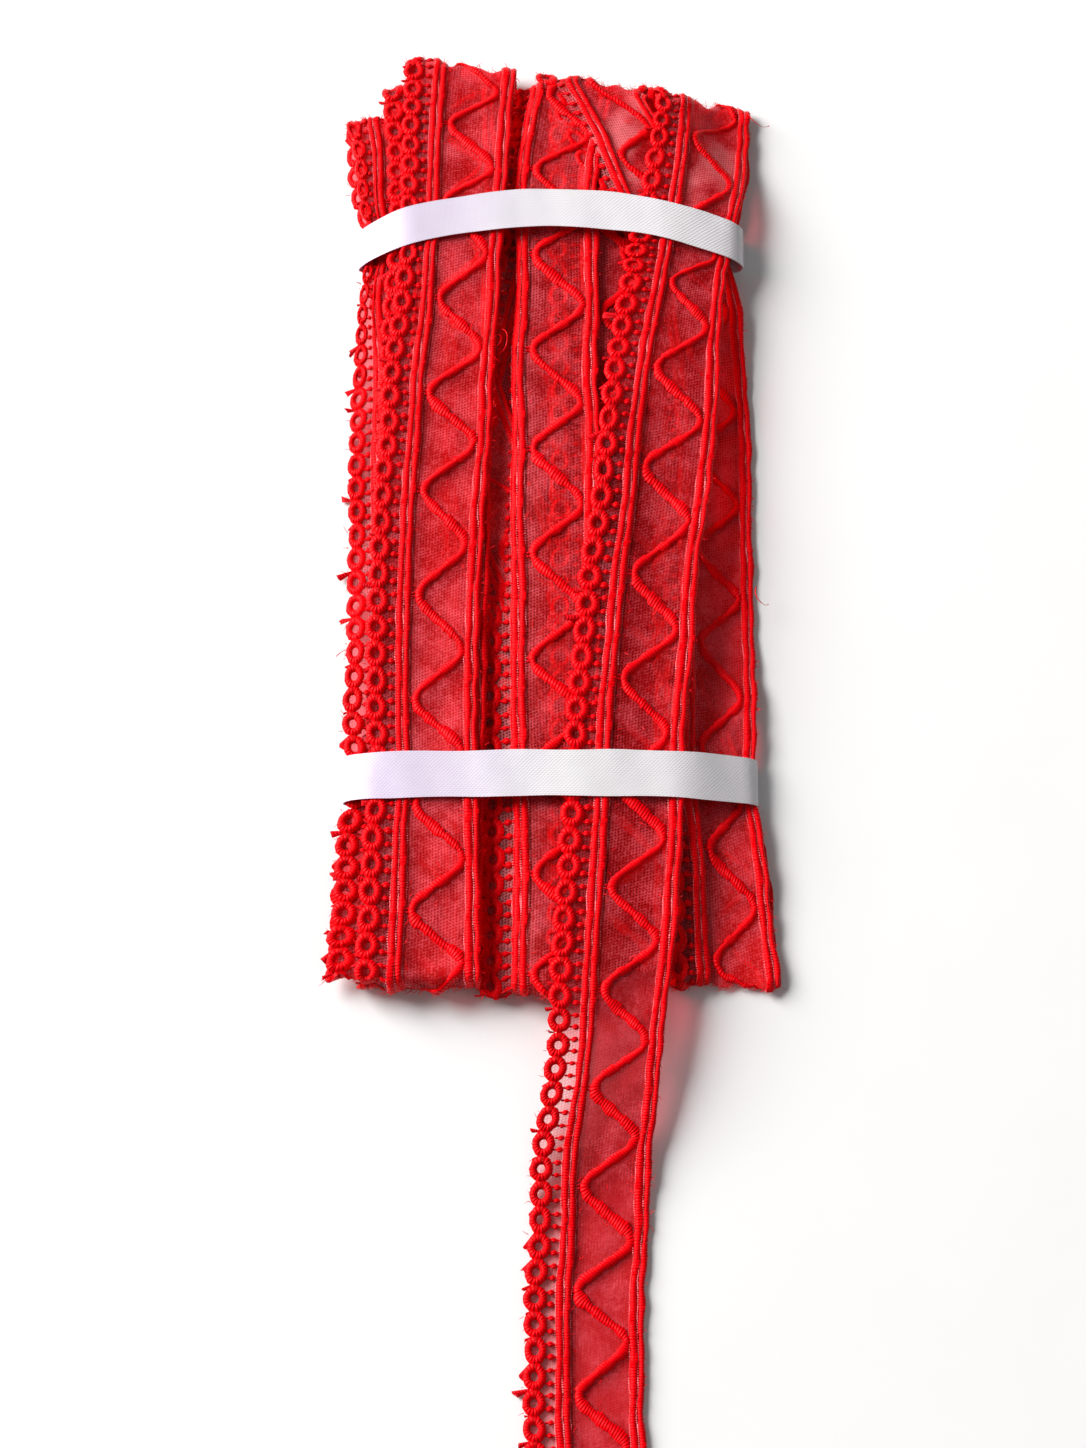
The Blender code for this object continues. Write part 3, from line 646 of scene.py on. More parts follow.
def joined(pieces, name):
    pick(pieces[0])
    for piece in pieces[1:]:
        piece.select_set(True)
    if len(pieces) > 1:
        bpy.ops.object.join()
    pieces[0].name = name
    pieces[0].data.name = name
    return pieces[0]


def points_of(piece):
    points = np.empty(len(piece.data.vertices) * 3)
    piece.data.vertices.foreach_get("co", points)
    return points.reshape(-1, 3)


def put_points(piece, points):
    piece.data.vertices.foreach_set("co", np.asarray(points, float).ravel())
    piece.data.update()


def keep_pattern(piece, values):
    """Stores where each point lies in the stitching, for the materials."""
    attribute = piece.data.attributes.new("stitching", "FLOAT_VECTOR", "POINT")
    attribute.data.foreach_set("vector", np.asarray(values, np.float32).ravel())


def keep_number(piece, numbers):
    """Stores which copy each point belongs to."""
    attribute = piece.data.attributes.new("number", "FLOAT", "POINT")
    attribute.data.foreach_set("value", np.asarray(numbers, np.float32))


def take_numbers(piece):
    attribute = piece.data.attributes["number"]
    numbers = np.empty(len(piece.data.vertices), np.float32)
    attribute.data.foreach_get("value", numbers)
    piece.data.attributes.remove(attribute)
    return np.rint(numbers).astype(int)


def soften(piece):
    pick(piece)
    bpy.ops.object.shade_smooth_by_angle(angle=math.radians(60.0))


def cut(piece, place, across, **settings):
    """Cuts through a whole piece along the plane at a place."""
    pick(piece)
    bpy.ops.object.mode_set(mode="EDIT")
    bpy.ops.mesh.select_all(action="SELECT")
    bpy.ops.mesh.bisect(plane_co=place, plane_no=across, **settings)
    bpy.ops.mesh.select_all(action="DESELECT")
    bpy.ops.object.mode_set(mode="OBJECT")


def cut_at_end(piece, fold):
    """Cuts the flat piece off where the trim ends."""
    cut(piece, (0.0, fold.end * REPEAT - END_TRIM, 0.0), (0.0, 1.0, 0.0), clear_outer=True)


def close_ends(piece):
    """Closes the open ends of cords with faces."""
    pick(piece)
    bpy.ops.object.mode_set(mode="EDIT")
    bpy.ops.mesh.select_all(action="DESELECT")
    bpy.ops.mesh.select_non_manifold()
    bpy.ops.mesh.edge_face_add()
    bpy.ops.mesh.select_all(action="DESELECT")
    bpy.ops.object.mode_set(mode="OBJECT")


def finish_lace(piece, points, pattern, fold):
    """Lays a flat piece on the folded trim and keeps its stitching pattern."""
    keep_pattern(piece, pattern)
    put_points(piece, fold.lay(points))
    soften(piece)
    return piece


def strewn(fold, name, pitch, shift, make, covered=True, spare=None):
    """Small parts copied all along the trim: the piece, its points and their copy numbers.

    make(y, shown) models the first copies of a length of the trim, at the distance y along
    it. Covered parts stand on every length, and the others on those whose face shows.
    """
    fits = int((fold.end * REPEAT - (shift if spare is None else spare)) / pitch)
    parts = []
    for start, count, shown in fold.stretches():
        if not shown and not covered:
            continue
        first = round(start * REPEAT / pitch)
        number = min(round(count * REPEAT / pitch), fits - first)
        for part in make(start * REPEAT + shift, shown):
            size = len(part.data.vertices)
            repeated(part, pitch, number)
            keep_number(part, np.repeat(np.arange(first, first + number), size))
            parts.append(part)
    piece = joined(parts, name)
    return piece, points_of(piece), take_numbers(piece)


def drawn_for(chance, number, columns):
    """Random values for each copy, given to all its points."""
    return chance.normal(0.0, 1.0, (number.max() + 1, columns))[number]


def wander(points):
    """How far a rail strays from its line."""
    return (0.13 * np.sin(points[:, 1] / 2.3 + points[:, 0] * 3.0)
            + 0.14 * np.sin(points[:, 1] / 7.1 + points[:, 0]))


def ring_edge_of_cloth(along):
    """Where the net ends, along the middle of the ring chain's outer half."""
    off = (along / RING_PITCH - FIRST_RING * RINGS_PER_REPEAT + 0.5) % 1.0 - 0.5
    return RING_LINE - NET_BITE * np.sqrt(np.clip(1.0 - (off / NET_BITE_LENGTH) ** 2, 0.0, 1.0))


def build_cloth(fold):
    lengths = []
    for start, count, shown in fold.stretches():
        bpy.ops.mesh.primitive_grid_add(
            x_subdivisions=CLOTH_COLUMNS, y_subdivisions=CLOTH_ROWS[shown], size=1.0)
        bpy.context.object.scale = (1.0, REPEAT, 1.0)
        bpy.context.object.location = (0.5, start * REPEAT + REPEAT / 2, 0.0)
        lengths.append(chained(added("cloth_length"), REPEAT, count))
    cloth = joined(lengths, "sheer_cloth")
    pick(cloth)
    bpy.ops.object.mode_set(mode="EDIT")
    bpy.ops.mesh.select_all(action="SELECT")
    bpy.ops.mesh.remove_doubles(threshold=0.01)
    bpy.ops.object.mode_set(mode="OBJECT")
    cut_at_end(cloth, fold)
    points = points_of(cloth)
    edge = ring_edge_of_cloth(points[:, 1])
    points[:, 0] = edge + points[:, 0] * (CLOTH_RIGHT - edge)
    return finish_lace(cloth, points, points.copy(), fold)


def cord_stitch(sides, pitch, half, thick, swell):
    """One stitch of a cord along Y: an open tube, fuller in the middle."""
    bpy.ops.mesh.primitive_cylinder_add(
        vertices=sides, radius=1.0, depth=pitch, end_fill_type="NOTHING",
        rotation=(math.pi / 2, 0.0, 0.0), location=(0.0, pitch / 2, 0.0))
    piece = added("cord_stitch")
    cut(piece, (0.0, pitch / 2, 0.0), (0.0, 1.0, 0.0))
    points = points_of(piece)
    fuller = 1.0 + swell * np.sin(math.pi * np.clip(points[:, 1] / pitch, 0, 1))
    points[:, 0] *= half * fuller
    points[:, 2] *= thick * fuller
    put_points(piece, points)
    return piece


def build_rails(fold, name, cords):
    """Stitched cords that run the whole length."""
    lengths = []
    for start, count, shown in fold.stretches():
        sides, stitches = RAIL_FACETS[shown]
        for across, height, half, thick in cords:
            pitch = REPEAT / stitches
            cord = cord_stitch(sides, pitch, half, thick, RAIL_SWELL)
            chained(cord, pitch, stitches * count)
            points = points_of(cord)
            rough = 1.0 + RAIL_ROUGH * scatter(np.rint(points[:, 1] * 2 / pitch), across)
            points[:, 0] *= rough
            points[:, 2] *= rough
            points += (across, start * REPEAT, height)
            put_points(cord, points)
            lengths.append(cord)
    rails = joined(lengths, name)
    cut_at_end(rails, fold)
    close_ends(rails)
    points = points_of(rails)
    pattern = points[:, [1, 0, 2]]
    points[:, 0] += wander(points)
    return finish_lace(rails, points, pattern, fold)


def zigzag_path():
    """One repeat of the zigzag: repeats, and the lengths along the cord up to them."""
    phases = np.linspace(0.0, 1.0, PHASE_STEPS)
    across = zigzag_line(phases)
    steps = np.hypot(np.diff(across), np.diff(phases * REPEAT))
    return phases, np.concatenate([[0.0], np.cumsum(steps)])


def build_zigzag(fold):
    phases, lengths = zigzag_path()
    whole = lengths[-1]
    parts = []
    for start, count, shown in fold.stretches():
        sides, stitches = ZIGZAG_FACETS[shown]
        cord = cord_stitch(sides, whole / stitches, 1.0, ZIGZAG_THICK, ZIGZAG_SWELL)
        chained(cord, whole / stitches, stitches * count)
        put_points(cord, points_of(cord) + (0.0, start * whole, 0.0))
        parts.append(cord)
    zigzag = joined(parts, "zigzag_cord")
    close_ends(zigzag)
    points = points_of(zigzag)
    turns = np.floor(points[:, 1] / whole + 1e-6)
    phase = np.interp(np.clip(points[:, 1] - turns * whole, 0.0, whole), lengths, phases)
    ahead = zigzag_line(phase + 0.004) - zigzag_line(phase - 0.004)
    slope = np.column_stack([ahead, np.full(len(ahead), 0.008 * REPEAT)])
    slope /= np.linalg.norm(slope, axis=1, keepdims=True)
    falling = smooth_step((phase - 0.03) / 0.07) * smooth_step((0.47 - phase) / 0.07)
    steps = scatter(np.floor(points[:, 1] / STEP_LENGTH), 1.0)
    lumps = scatter(np.floor(points[:, 1] / LUMP_LENGTH), 7.0)
    edge = np.sign(points[:, 0])
    stitch = scatter(np.floor(points[:, 1] / STITCH_LENGTH) * 2 + edge, 2.0)
    tail = smooth_step(0.4 + (turns + phase - fold.end + TAIL_REPEATS) / 2)
    half = (ZIGZAG_HALF + ZIGZAG_AT_TAIL * tail + ZIGZAG_WIDER * falling + STITCH_SIZE * stitch
            + STEP_SIZE * steps * (0.30 + falling) + LUMP_SIZE * lumps * (0.40 + falling))
    sway = np.sin(1.9 * np.floor(turns + phase + 0.5) ** 2) * np.cos(2 * math.pi * phase)
    side = points[:, 0] * half
    flat = np.column_stack([
        zigzag_line(phase) + ZIGZAG_SWAY * sway + slope[:, 1] * side,
        np.minimum((turns + phase) * REPEAT - slope[:, 0] * side, fold.end * REPEAT - END_TRIM),
        points[:, 2] + ZIGZAG_LIFT,
    ])
    pattern = np.column_stack([points[:, 1] + ZIGZAG_SLANT * points[:, 0], points[:, 0], points[:, 2]])
    return finish_lace(zigzag, flat, pattern, fold)


def build_rings(fold, chance):
    def ring(y, shown):
        segments, sides = RING_FACETS[shown]
        bpy.ops.mesh.primitive_torus_add(
            major_segments=segments, minor_segments=sides, major_radius=RING_RADIUS,
            minor_radius=RING_CORD)
        bpy.context.object.scale = RING_SHAPE
        bpy.context.object.location = (RING_LINE, y, RING_LIFT)
        return [added("ring")]

    shift = FIRST_RING * REPEAT
    rings, points, number = strewn(fold, "ring_chain", RING_PITCH, shift, ring)
    centre = shift + number * RING_PITCH
    off_x, off_y = points[:, 0] - RING_LINE, points[:, 1] - centre
    turn = np.arctan2(off_x, off_y)
    pattern = np.column_stack([turn * 2.8, np.hypot(off_x, off_y), points[:, 2]])
    j = drawn_for(chance, number, 5)
    size = 1.0 + 0.035 * j[:, 0]
    rough = 1.0 + 0.09 * np.sin(turn * 9 + j[:, 4] * 3) + 0.06 * np.sin(turn * 15 + j[:, 2] * 5)
    flat = np.column_stack([
        RING_LINE + off_x * size * (0.7 + 0.3 * rough) + 0.12 * j[:, 1] + 0.03 * j[:, 2] * off_y,
        centre + off_y * (2 - size) * (0.7 + 0.3 * rough) + 0.10 * j[:, 3],
        points[:, 2] * rough + 0.05 * j[:, 4] * off_x / 3.0,
    ])
    return finish_lace(rings, flat, pattern, fold)


def build_beads(fold, chance):
    """The bars from the rings to the left rail, with a bead on each."""
    pitch = RING_PITCH / 2
    shift = FIRST_RING * REPEAT - pitch / 2

    def bead_bar(y, shown):
        if shown:
            bpy.ops.mesh.primitive_uv_sphere_add(segments=8, ring_count=5, radius=BEAD_RADIUS)
        else:
            bpy.ops.mesh.primitive_ico_sphere_add(subdivisions=1, radius=BEAD_RADIUS)
        bpy.context.object.scale = BEAD_SHAPE
        bpy.context.object.location = (BEAD_LINE, y, RING_LIFT)
        bead = added("bead")
        bpy.ops.mesh.primitive_cylinder_add(
            vertices=4, radius=BAR_RADIUS, depth=BAR_TO - BAR_FROM, rotation=(0.0, math.pi / 2, 0.0),
            location=((BAR_FROM + BAR_TO) / 2, y, RING_LIFT * 0.6))
        return [joined([bead, added("bar")], "bead_bar")]

    beads, points, number = strewn(fold, "bead_bars", pitch, shift, bead_bar)
    j = drawn_for(chance, number, 4)
    centre = shift + number * pitch
    off_x, off_y = points[:, 0] - BEAD_LINE, points[:, 1] - centre
    pattern = np.column_stack([off_y * 1.5 + 0.5 * off_x, off_x, points[:, 2]])
    on_bead = np.abs(off_x) < BEAD_RADIUS * 1.3
    size = np.where(on_bead, 1.0 + 0.09 * j[:, 0], 1.0 + 0.5 * smooth_step((off_x - 1.4) / 0.8))
    flat = np.column_stack([
        BEAD_LINE + off_x * np.where(on_bead, size, 1.0) + 0.22 * j[:, 1] * on_bead,
        centre + off_y * size + 0.14 * j[:, 2] + 0.04 * j[:, 3] * off_x,
        points[:, 2] * size,
    ])
    return finish_lace(beads, flat, pattern, fold)


def build_ties(fold):
    """Short knotted threads that hold each turn of the zigzag to the rail beside it."""
    def turn_of_ties(y, shown):
        ties = []
        for across, aside, length, phase in TIES:
            centre = np.array([across, y + phase * REPEAT + aside, TIE_LIFT])
            bpy.ops.mesh.primitive_cylinder_add(
                vertices=5, radius=TIE_RADIUS, depth=length, rotation=(0.0, math.pi / 2, 0.0),
                location=centre)
            tie = added("tie")
            cut(tie, centre, (1.0, 0.0, 0.0))
            points = points_of(tie)
            knot = np.abs(points[:, 0] - across) < 0.1
            points[knot] = centre + (points[knot] - centre) * TIE_KNOT
            put_points(tie, points)
            ties.append(tie)
        return ties

    ties, points, number = strewn(fold, "zigzag_ties", REPEAT, 0.0, turn_of_ties, covered=False,
                                  spare=TIE_ROOM * REPEAT)
    points[:, 1] += 0.25 * np.sin(number * 7.3)
    return finish_lace(ties, points, points.copy(), fold)


def build_tufts(fold, chance):
    """Cut thread ends at the joins of the rings: thin where they start, blunt where they end."""
    def tuft(y, shown):
        bpy.ops.mesh.primitive_cone_add(
            vertices=6, radius1=TUFT_BLUNT, radius2=TUFT_NECK, depth=2 * TUFT_HALF,
            rotation=(0.0, math.pi / 2, 0.0), location=(TUFT_LINE - TUFT_HALF, y, TUFT_LIFT))
        return [added("tuft")]

    shift = (FIRST_RING + 0.5 / RINGS_PER_REPEAT) * REPEAT
    tufts, points, number = strewn(fold, "thread_tufts", RING_PITCH, shift, tuft)
    j = drawn_for(chance, number, 4)
    anchor = np.column_stack([np.full(len(number), TUFT_LINE), shift + number * RING_PITCH,
                              np.full(len(number), TUFT_LIFT)])
    off = points - anchor
    off *= 1.0 + 0.22 * scatter(np.arange(len(off)), 3.0)[:, None]
    size = np.clip(0.62 + 0.40 * j[:, :1], 0.15, 1.15)
    lean = -0.60 + 0.45 * j[:, 1]
    turned = np.column_stack([
        off[:, 0] * np.cos(lean) - off[:, 1] * np.sin(lean),
        off[:, 0] * np.sin(lean) + off[:, 1] * np.cos(lean),
        off[:, 2] * 0.55,
    ])
    return finish_lace(tufts, anchor + turned * size, points.copy(), fold)


def build_glints(fold):
    """Rows of small pale stitches along the rails: painted highlights along the edges of the cords."""
    def row_of_glint_stitches(y, shown):
        stitches = []
        for across, height, size in GLINT_ROWS:
            bpy.ops.mesh.primitive_cylinder_add(
                vertices=4, radius=size, depth=GLINT_LENGTH * size, rotation=(math.pi / 2, 0.0, 0.0),
                location=(across, y, height))
            stitches.append(added("glint"))
        return stitches

    glints, points, number = strewn(
        fold, "rail_painted_glint_stitches", GLINT_PITCH, GLINT_PITCH / 2, row_of_glint_stitches, covered=False)
    centre = (number + 0.5) * GLINT_PITCH
    keep = 0.55 + 0.45 * scatter(number, 5.0) + 0.3 * np.sin(number / 9.0)
    points[:, 1] = centre + (points[:, 1] - centre) * np.clip(keep, 0.25, 1.2)
    points[:, 0] += 0.12 * scatter(number, 6.0)
    points[:, 0] += wander(points)
    return finish_lace(glints, points, points.copy(), fold)


def build_fibres(fold, chance):
    """Short stray fibres along the edges of the cords and rings, and at the folds."""
    bpy.ops.mesh.primitive_cone_add(
        vertices=3, radius1=FIBRE_RADIUS, radius2=FIBRE_RADIUS / 3, depth=1.0, location=(0.0, 0.0, 0.5))
    fibre = added("stray_fibres")
    cut(fibre, (0.0, 0.0, 0.5), (0.0, 0.0, 1.0))
    size = len(fibre.data.vertices)
    repeated(fibre, 0.0, FIBRES)
    points = points_of(fibre)
    shown = np.array([(start, start + count) for start, count, seen in fold.stretches() if seen])
    room = np.cumsum(shown[:, 1] - shown[:, 0])
    drawn = chance.uniform(0.0, room[-1] - 0.2, FIBRES)
    which = np.searchsorted(room, drawn)
    place = shown[which, 1] - (room[which] - drawn)
    edge = np.array(FIBRE_EDGES)[chance.integers(0, len(FIBRE_EDGES), FIBRES)]
    side = np.where(edge[:, 1] == 0, chance.choice([-1.0, 1.0], FIBRES), edge[:, 1])
    aim = chance.uniform(-1.1, 1.1, FIBRES)
    reach = 0.5 + 1.6 * chance.random(FIBRES) ** 2
    bend = chance.normal(0.0, 0.5, FIBRES)
    lift = chance.uniform(0.0, 0.6, FIBRES)
    turns = np.array([(before[1] + after[0]) / 2 for before, after in zip(fold.spans, fold.spans[1:])])
    at_turn = np.arange(FIBRES) < TURN_FIBRES
    place = np.where(at_turn, chance.choice(turns, FIBRES) + chance.normal(0.0, 0.02, FIBRES), place)
    from_edge = np.where(at_turn, chance.uniform(0.0, WIDTH, FIBRES), edge[:, 0])
    lift = np.where(at_turn, 1.0, lift)
    reach = np.where(at_turn, reach * 1.2, reach)

    def each(values):
        return np.repeat(values, size)

    along = points[:, 2]
    out = each(reach) * along
    flat = np.column_stack([
        each(from_edge) + each(side * np.cos(aim)) * out + points[:, 0],
        each(place) * REPEAT + each(np.sin(aim)) * out + each(bend) * along ** 2 + points[:, 1],
        FIBRE_LIFT + each(lift) * out + points[:, 0] * 0.5,
    ])
    return finish_lace(fibre, flat, flat.copy(), fold)


def build_loose_threads():
    """A few long thread ends that have come loose and lie on top."""
    threads = []
    for number, (start, finish, curl, turns) in enumerate(LOOSE_THREADS):
        way = np.subtract(finish, start)
        pieces = int(np.linalg.norm(way) + 10 * curl)
        thread = cord_stitch(4, 1.0 / pieces, THREAD_RADIUS, THREAD_RADIUS, 0.0)
        chained(thread, 1.0 / pieces, pieces)
        points = points_of(thread)
        at = points[:, 1:2]
        turn = 2 * math.pi * turns * at + number
        line = start + way * at
        line = line + curl * np.hstack([np.cos(turn) - np.cos(number), np.sin(turn) - np.sin(number),
                                        0.3 * np.sin(2 * turn)])
        put_points(thread, (line + points * (1.0, 0.0, 1.0)) * MM)
        threads.append(thread)
    loose = joined(threads, "loose_threads")
    keep_pattern(loose, points_of(loose) / MM)
    return loose


def outline_of(points):
    """Corners of the smallest convex shape round the points, anticlockwise."""
    points = sorted(set(map(tuple, np.round(points, 4))))

    def half(items):
        chain = []
        for p in items:
            while len(chain) > 1:
                (ax, ay), (bx, by) = chain[-2], chain[-1]
                if (bx - ax) * (p[1] - ay) - (by - ay) * (p[0] - ax) > 0:
                    break
                chain.pop()
            chain.append(p)
        return chain

    return np.array(half(points)[:-1] + half(points[::-1])[:-1])


def section_of(band, passes):
    """Outline of the trim's section under a band, from all the passes that it holds."""
    lines = np.linspace(0.0, WIDTH, SAMPLES_ACROSS)[None, :]
    share = np.linspace(0.0, 1.0, SAMPLES_ALONG)[:, None]
    section = []
    for run in passes:
        s_all, a_all = np.broadcast_arrays(share, lines)
        y = run.y(s_all, a_all)
        x, z = run.x(y, a_all), run.z(s_all, a_all)
        centre = band.side + band.rise * np.clip(1.0 - (x / BUNDLE_HALF) ** 2, 0.0, None)
        inside = np.abs(y - centre) < band.width / 2
        section += list(zip(x[inside], z[inside] + RING_TOP))
        section += list(zip(x[inside], z[inside] - FLAT_SIDE))
    return outline_of(np.array(section))


def build_ribbon(band, passes):
    """A satin band drawn tight round the bundle."""
    corners = section_of(band, passes)
    middle = (corners[:, 0].min() + corners[:, 0].max()) / 2
    half = (corners[:, 0].max() - corners[:, 0].min()) / 2
    dense = np.radians(np.arange(0.0, 360.0, LOOP_DEGREES))
    leans = np.column_stack([np.cos(dense), np.sin(dense)])
    loop = corners[np.argmax(leans @ corners.T, axis=1)] + leans * RIBBON_CLEARANCE
    steps = np.linalg.norm(np.diff(np.vstack([loop, loop[:1]]), axis=0), axis=1)
    lengths = np.concatenate([[0.0], np.cumsum(steps)])
    around = np.linspace(0.0, lengths[-1], RIBBON_FACETS, endpoint=False)
    ring = np.column_stack([
        np.interp(around, lengths, np.append(loop[:, k], loop[0, k])) for k in (0, 1)])
    ring = sum(np.roll(ring, shift, axis=0) for shift in range(-RIBBON_EASE, RIBBON_EASE + 1))
    ring = ring / (2 * RIBBON_EASE + 1)
    ring[:, 0] = middle + (ring[:, 0] - middle) * (1.0 + RIBBON_SIDE / half)
    bpy.ops.mesh.primitive_cylinder_add(
        vertices=RIBBON_FACETS, radius=1.0, depth=1.0, end_fill_type="NOTHING",
        rotation=(math.pi / 2, 0.0, 0.0))
    ribbon = added(band.name)
    for k in range(1, RIBBON_ROWS):
        cut(ribbon, (0.0, -0.5 + k / RIBBON_ROWS, 0.0), (0.0, 1.0, 0.0))
    points = points_of(ribbon)
    turn = np.arctan2(points[:, 2], points[:, 0]) / (2 * math.pi) % 1.0
    index = np.rint(turn * RIBBON_FACETS).astype(int) % RIBBON_FACETS
    x, z = ring[index, 0], np.maximum(ring[index, 1], RIBBON_THICKNESS)
    up = smooth_step((ring[index, 1] - TOP_FROM) / TOP_OVER)
    over = np.clip(1 - ((x - middle) / half) ** 2, 0, None) * (UNDER_RISE + (1 - UNDER_RISE) * up)
    side = points[:, 1]
    y = band.side + band.rise * over + side * band.width
    y += 0.16 * np.sin(x / 5.1 + 4.0 * np.sign(side)) * np.abs(side) * 2
    ripple = (0.22 * np.sin(x / 6.0 + 1.0) * np.sin(x / 17.0)
              + 0.10 * np.sin(x / 2.7 + side * 3.0) * np.sin(x / 11.0)) * up
    keep_pattern(ribbon, np.column_stack([around[index], side * band.width, x]))
    put_points(ribbon, np.column_stack([x, y, z + ripple]) * MM)
    with_modifier(ribbon, "SOLIDIFY", thickness=RIBBON_THICKNESS * MM, offset=0.0)
    soften(ribbon)
    return ribbon, lengths[-1] * MM


class Look:
    """A material in the making: its nodes, and short ways to add the ones it needs."""

    def __init__(self, name):
        self.material = bpy.data.materials.new(name)
        self.material.use_nodes = True
        self.tree = self.material.node_tree
        self.tree.nodes.clear()
        self.output = self.node("OutputMaterial")
        self.place = self.node("TexCoord").outputs["Object"]

    def node(self, kind, **inputs):
        """A shader node with its inputs set, where a value that is a socket is linked."""
        made = self.tree.nodes.new("ShaderNode" + kind)
        for key, value in inputs.items():
            if hasattr(made, key) and key[0].islower():
                setattr(made, key, value)
                continue
            socket = made.inputs[int(key[1:]) if key[1:].isdigit() else key.replace("_", " ")]
            if isinstance(value, bpy.types.NodeSocket):
                self.tree.links.new(value, socket)
            else:
                socket.default_value = value
        return made

    def stitching(self):
        """The stored place of each point in the stitching, split into its parts."""
        source = self.node("Attribute", attribute_name="stitching").outputs["Vector"]
        parts = self.node("SeparateXYZ", Vector=source)
        return source, parts.outputs["X"], parts.outputs["Y"]

    def maths(self, operation, first, second=0.0):
        return self.node("Math", operation=operation, i0=first, i1=second).outputs[0]

    def times(self, first, second):
        return self.maths("MULTIPLY", first, second)

    def total(self, first, *others):
        for other in others:
            first = self.maths("ADD", first, other)
        return first

    def noise(self, scale, detail, roughness=0.5, vector=None):
        return self.node("TexNoise", Vector=vector or self.place, Scale=scale, Detail=detail,
                         Roughness=roughness).outputs["Fac"]

    def ramp(self, value, low, high, start=0.0, end=1.0):
        """Runs from start to end as the value goes from low to high."""
        return self.node("MapRange", Value=value, i1=low, i2=high, i3=start, i4=end).outputs[0]

    def blend(self, share, first, second, kind="MIX"):
        return self.node("Mix", data_type="RGBA", blend_type=kind, i0=share, i6=first,
                         i7=second).outputs[2]

    def ridges(self, along, pitch, wobble=0.0):
        """Runs from 0 to 1 and back once each pitch along the cord."""
        turned = self.times(self.maths("ADD", along, wobble), 2 * math.pi / pitch)
        return self.total(self.times(self.maths("SINE", turned), 0.5), 0.5)

    def surface(self, colour, height, strength, distance, **settings):
        bump = self.node("Bump", Height=height, Strength=strength, Distance=distance)
        return self.node("BsdfPrincipled", Base_Color=colour, Normal=bump.outputs["Normal"],
                         **settings).outputs[0]

    def finished(self, shader):
        self.tree.links.new(shader, self.output.inputs["Surface"])
        return self.material


def thread_material(name, dark, bright, pitch, roughness):
    """Glossy embroidery thread, laid side by side across a cord."""
    look = Look(name)
    along = look.stitching()[1]
    uneven = look.noise(700.0, 3.0)
    wave = look.ridges(along, pitch, look.times(uneven, 0.35))
    # Painted shade: the thread is darker in the grooves between its strands, mixed with random tone
    tone = look.total(look.times(wave, 0.30), look.times(look.noise(60.0, 2.0), 0.55),
                      look.times(look.noise(450.0, 1.0), 0.40))
    return look.finished(look.surface(
        look.blend(tone, dark, bright), look.total(wave, look.times(uneven, 0.6)), 0.8, 0.00016,
        Roughness=roughness, Sheen_Weight=0.04, Sheen_Roughness=0.4, Sheen_Tint=(1.0, 0.02, 0.03, 1.0),
        Specular_IOR_Level=0.30, Specular_Tint=(1.0, 0.14, 0.16, 1.0)))


def cloth_material():
    """Sheer organza between the rails, and a thinner net beside the rings."""
    look = Look("sheer_organza")
    vector, across, along = look.stitching()
    spot = look.node("SeparateXYZ", Vector=look.place)
    x, y = spot.outputs["X"], spot.outputs["Y"]
    panel = look.ramp(across, 12.2, 13.4)
    loose = look.ramp(y, -0.175, -0.150)
    slant = look.total(along, look.times(across, WEAVE_SLANT))
    weave = look.times(look.ridges(across, WEAVE_PITCH), look.ridges(slant, WEAVE_PITCH))
    hole = look.ramp(weave, 0.30, 0.60)

    patchy = look.ramp(look.noise(110.0, 4.0, 0.6), 0.38, 0.62)
    stretched = look.node("Mapping", Vector=vector, Scale=(1.6, 0.22, 1.0)).outputs[0]
    streaky = look.ramp(look.noise(1.0, 3.0, vector=stretched), 0.35, 0.65)
    specked = look.ramp(look.noise(1300.0, 1.0), 0.36, 0.64, -0.32, 0.32)
    # Painted shade: a region right of the middle, below the top, is darker, as if shadowed layers lay
    # under the cloth there
    painted_shade = look.times(look.ramp(x, -0.012, -0.002), look.ramp(x, 0.040, 0.048, 1.0, 0.0))
    painted_shade = look.times(painted_shade, look.ramp(y, 0.090, 0.115, 1.0, 0.0))
    shade = look.total(look.times(patchy, 0.75), look.times(streaky, 0.25), specked,
                       look.times(painted_shade, -0.16))

    # Painted light: pale patches near the top right of the bundle, where the crumpled cloth catches the
    # light
    pale = look.times(look.ramp(y, 0.108, 0.120), look.ramp(x, 0.010, 0.020))
    pale = look.times(look.times(pale, look.ramp(look.noise(62.0, 2.0), 0.47, 0.60)), panel)
    colour = look.blend(panel, look.blend(shade, *NET_COLOURS), look.blend(shade, *PANEL_COLOURS))
    colour = look.blend(pale, colour, PAINTED_LIGHT_PATCH)
    under = look.blend(painted_shade, THROUGH_BUNDLE, THROUGH_PAINTED_SHADE)
    glow = look.blend(panel, look.blend(loose, NET_IN_TAIL, NET_IN_BUNDLE),
                      look.blend(loose, THROUGH_TAIL, under))
    cover = look.total(look.times(panel, 0.09), 0.27, look.times(pale, 0.26), look.times(shade, 0.14),
                       look.times(hole, -0.36))
    cloth = look.surface(
        colour, hole, 0.5, 0.00012, Roughness=0.45, Sheen_Weight=0.10, Sheen_Roughness=0.35,
        Sheen_Tint=(1.0, 0.30, 0.30, 1.0), Specular_IOR_Level=0.4)
    clear = look.node("BsdfTransparent", Color=glow).outputs[0]
    return look.finished(look.node(
        "MixShader", i0=look.maths("MAXIMUM", cover, 0.02), i1=clear, i2=cloth).outputs[0])


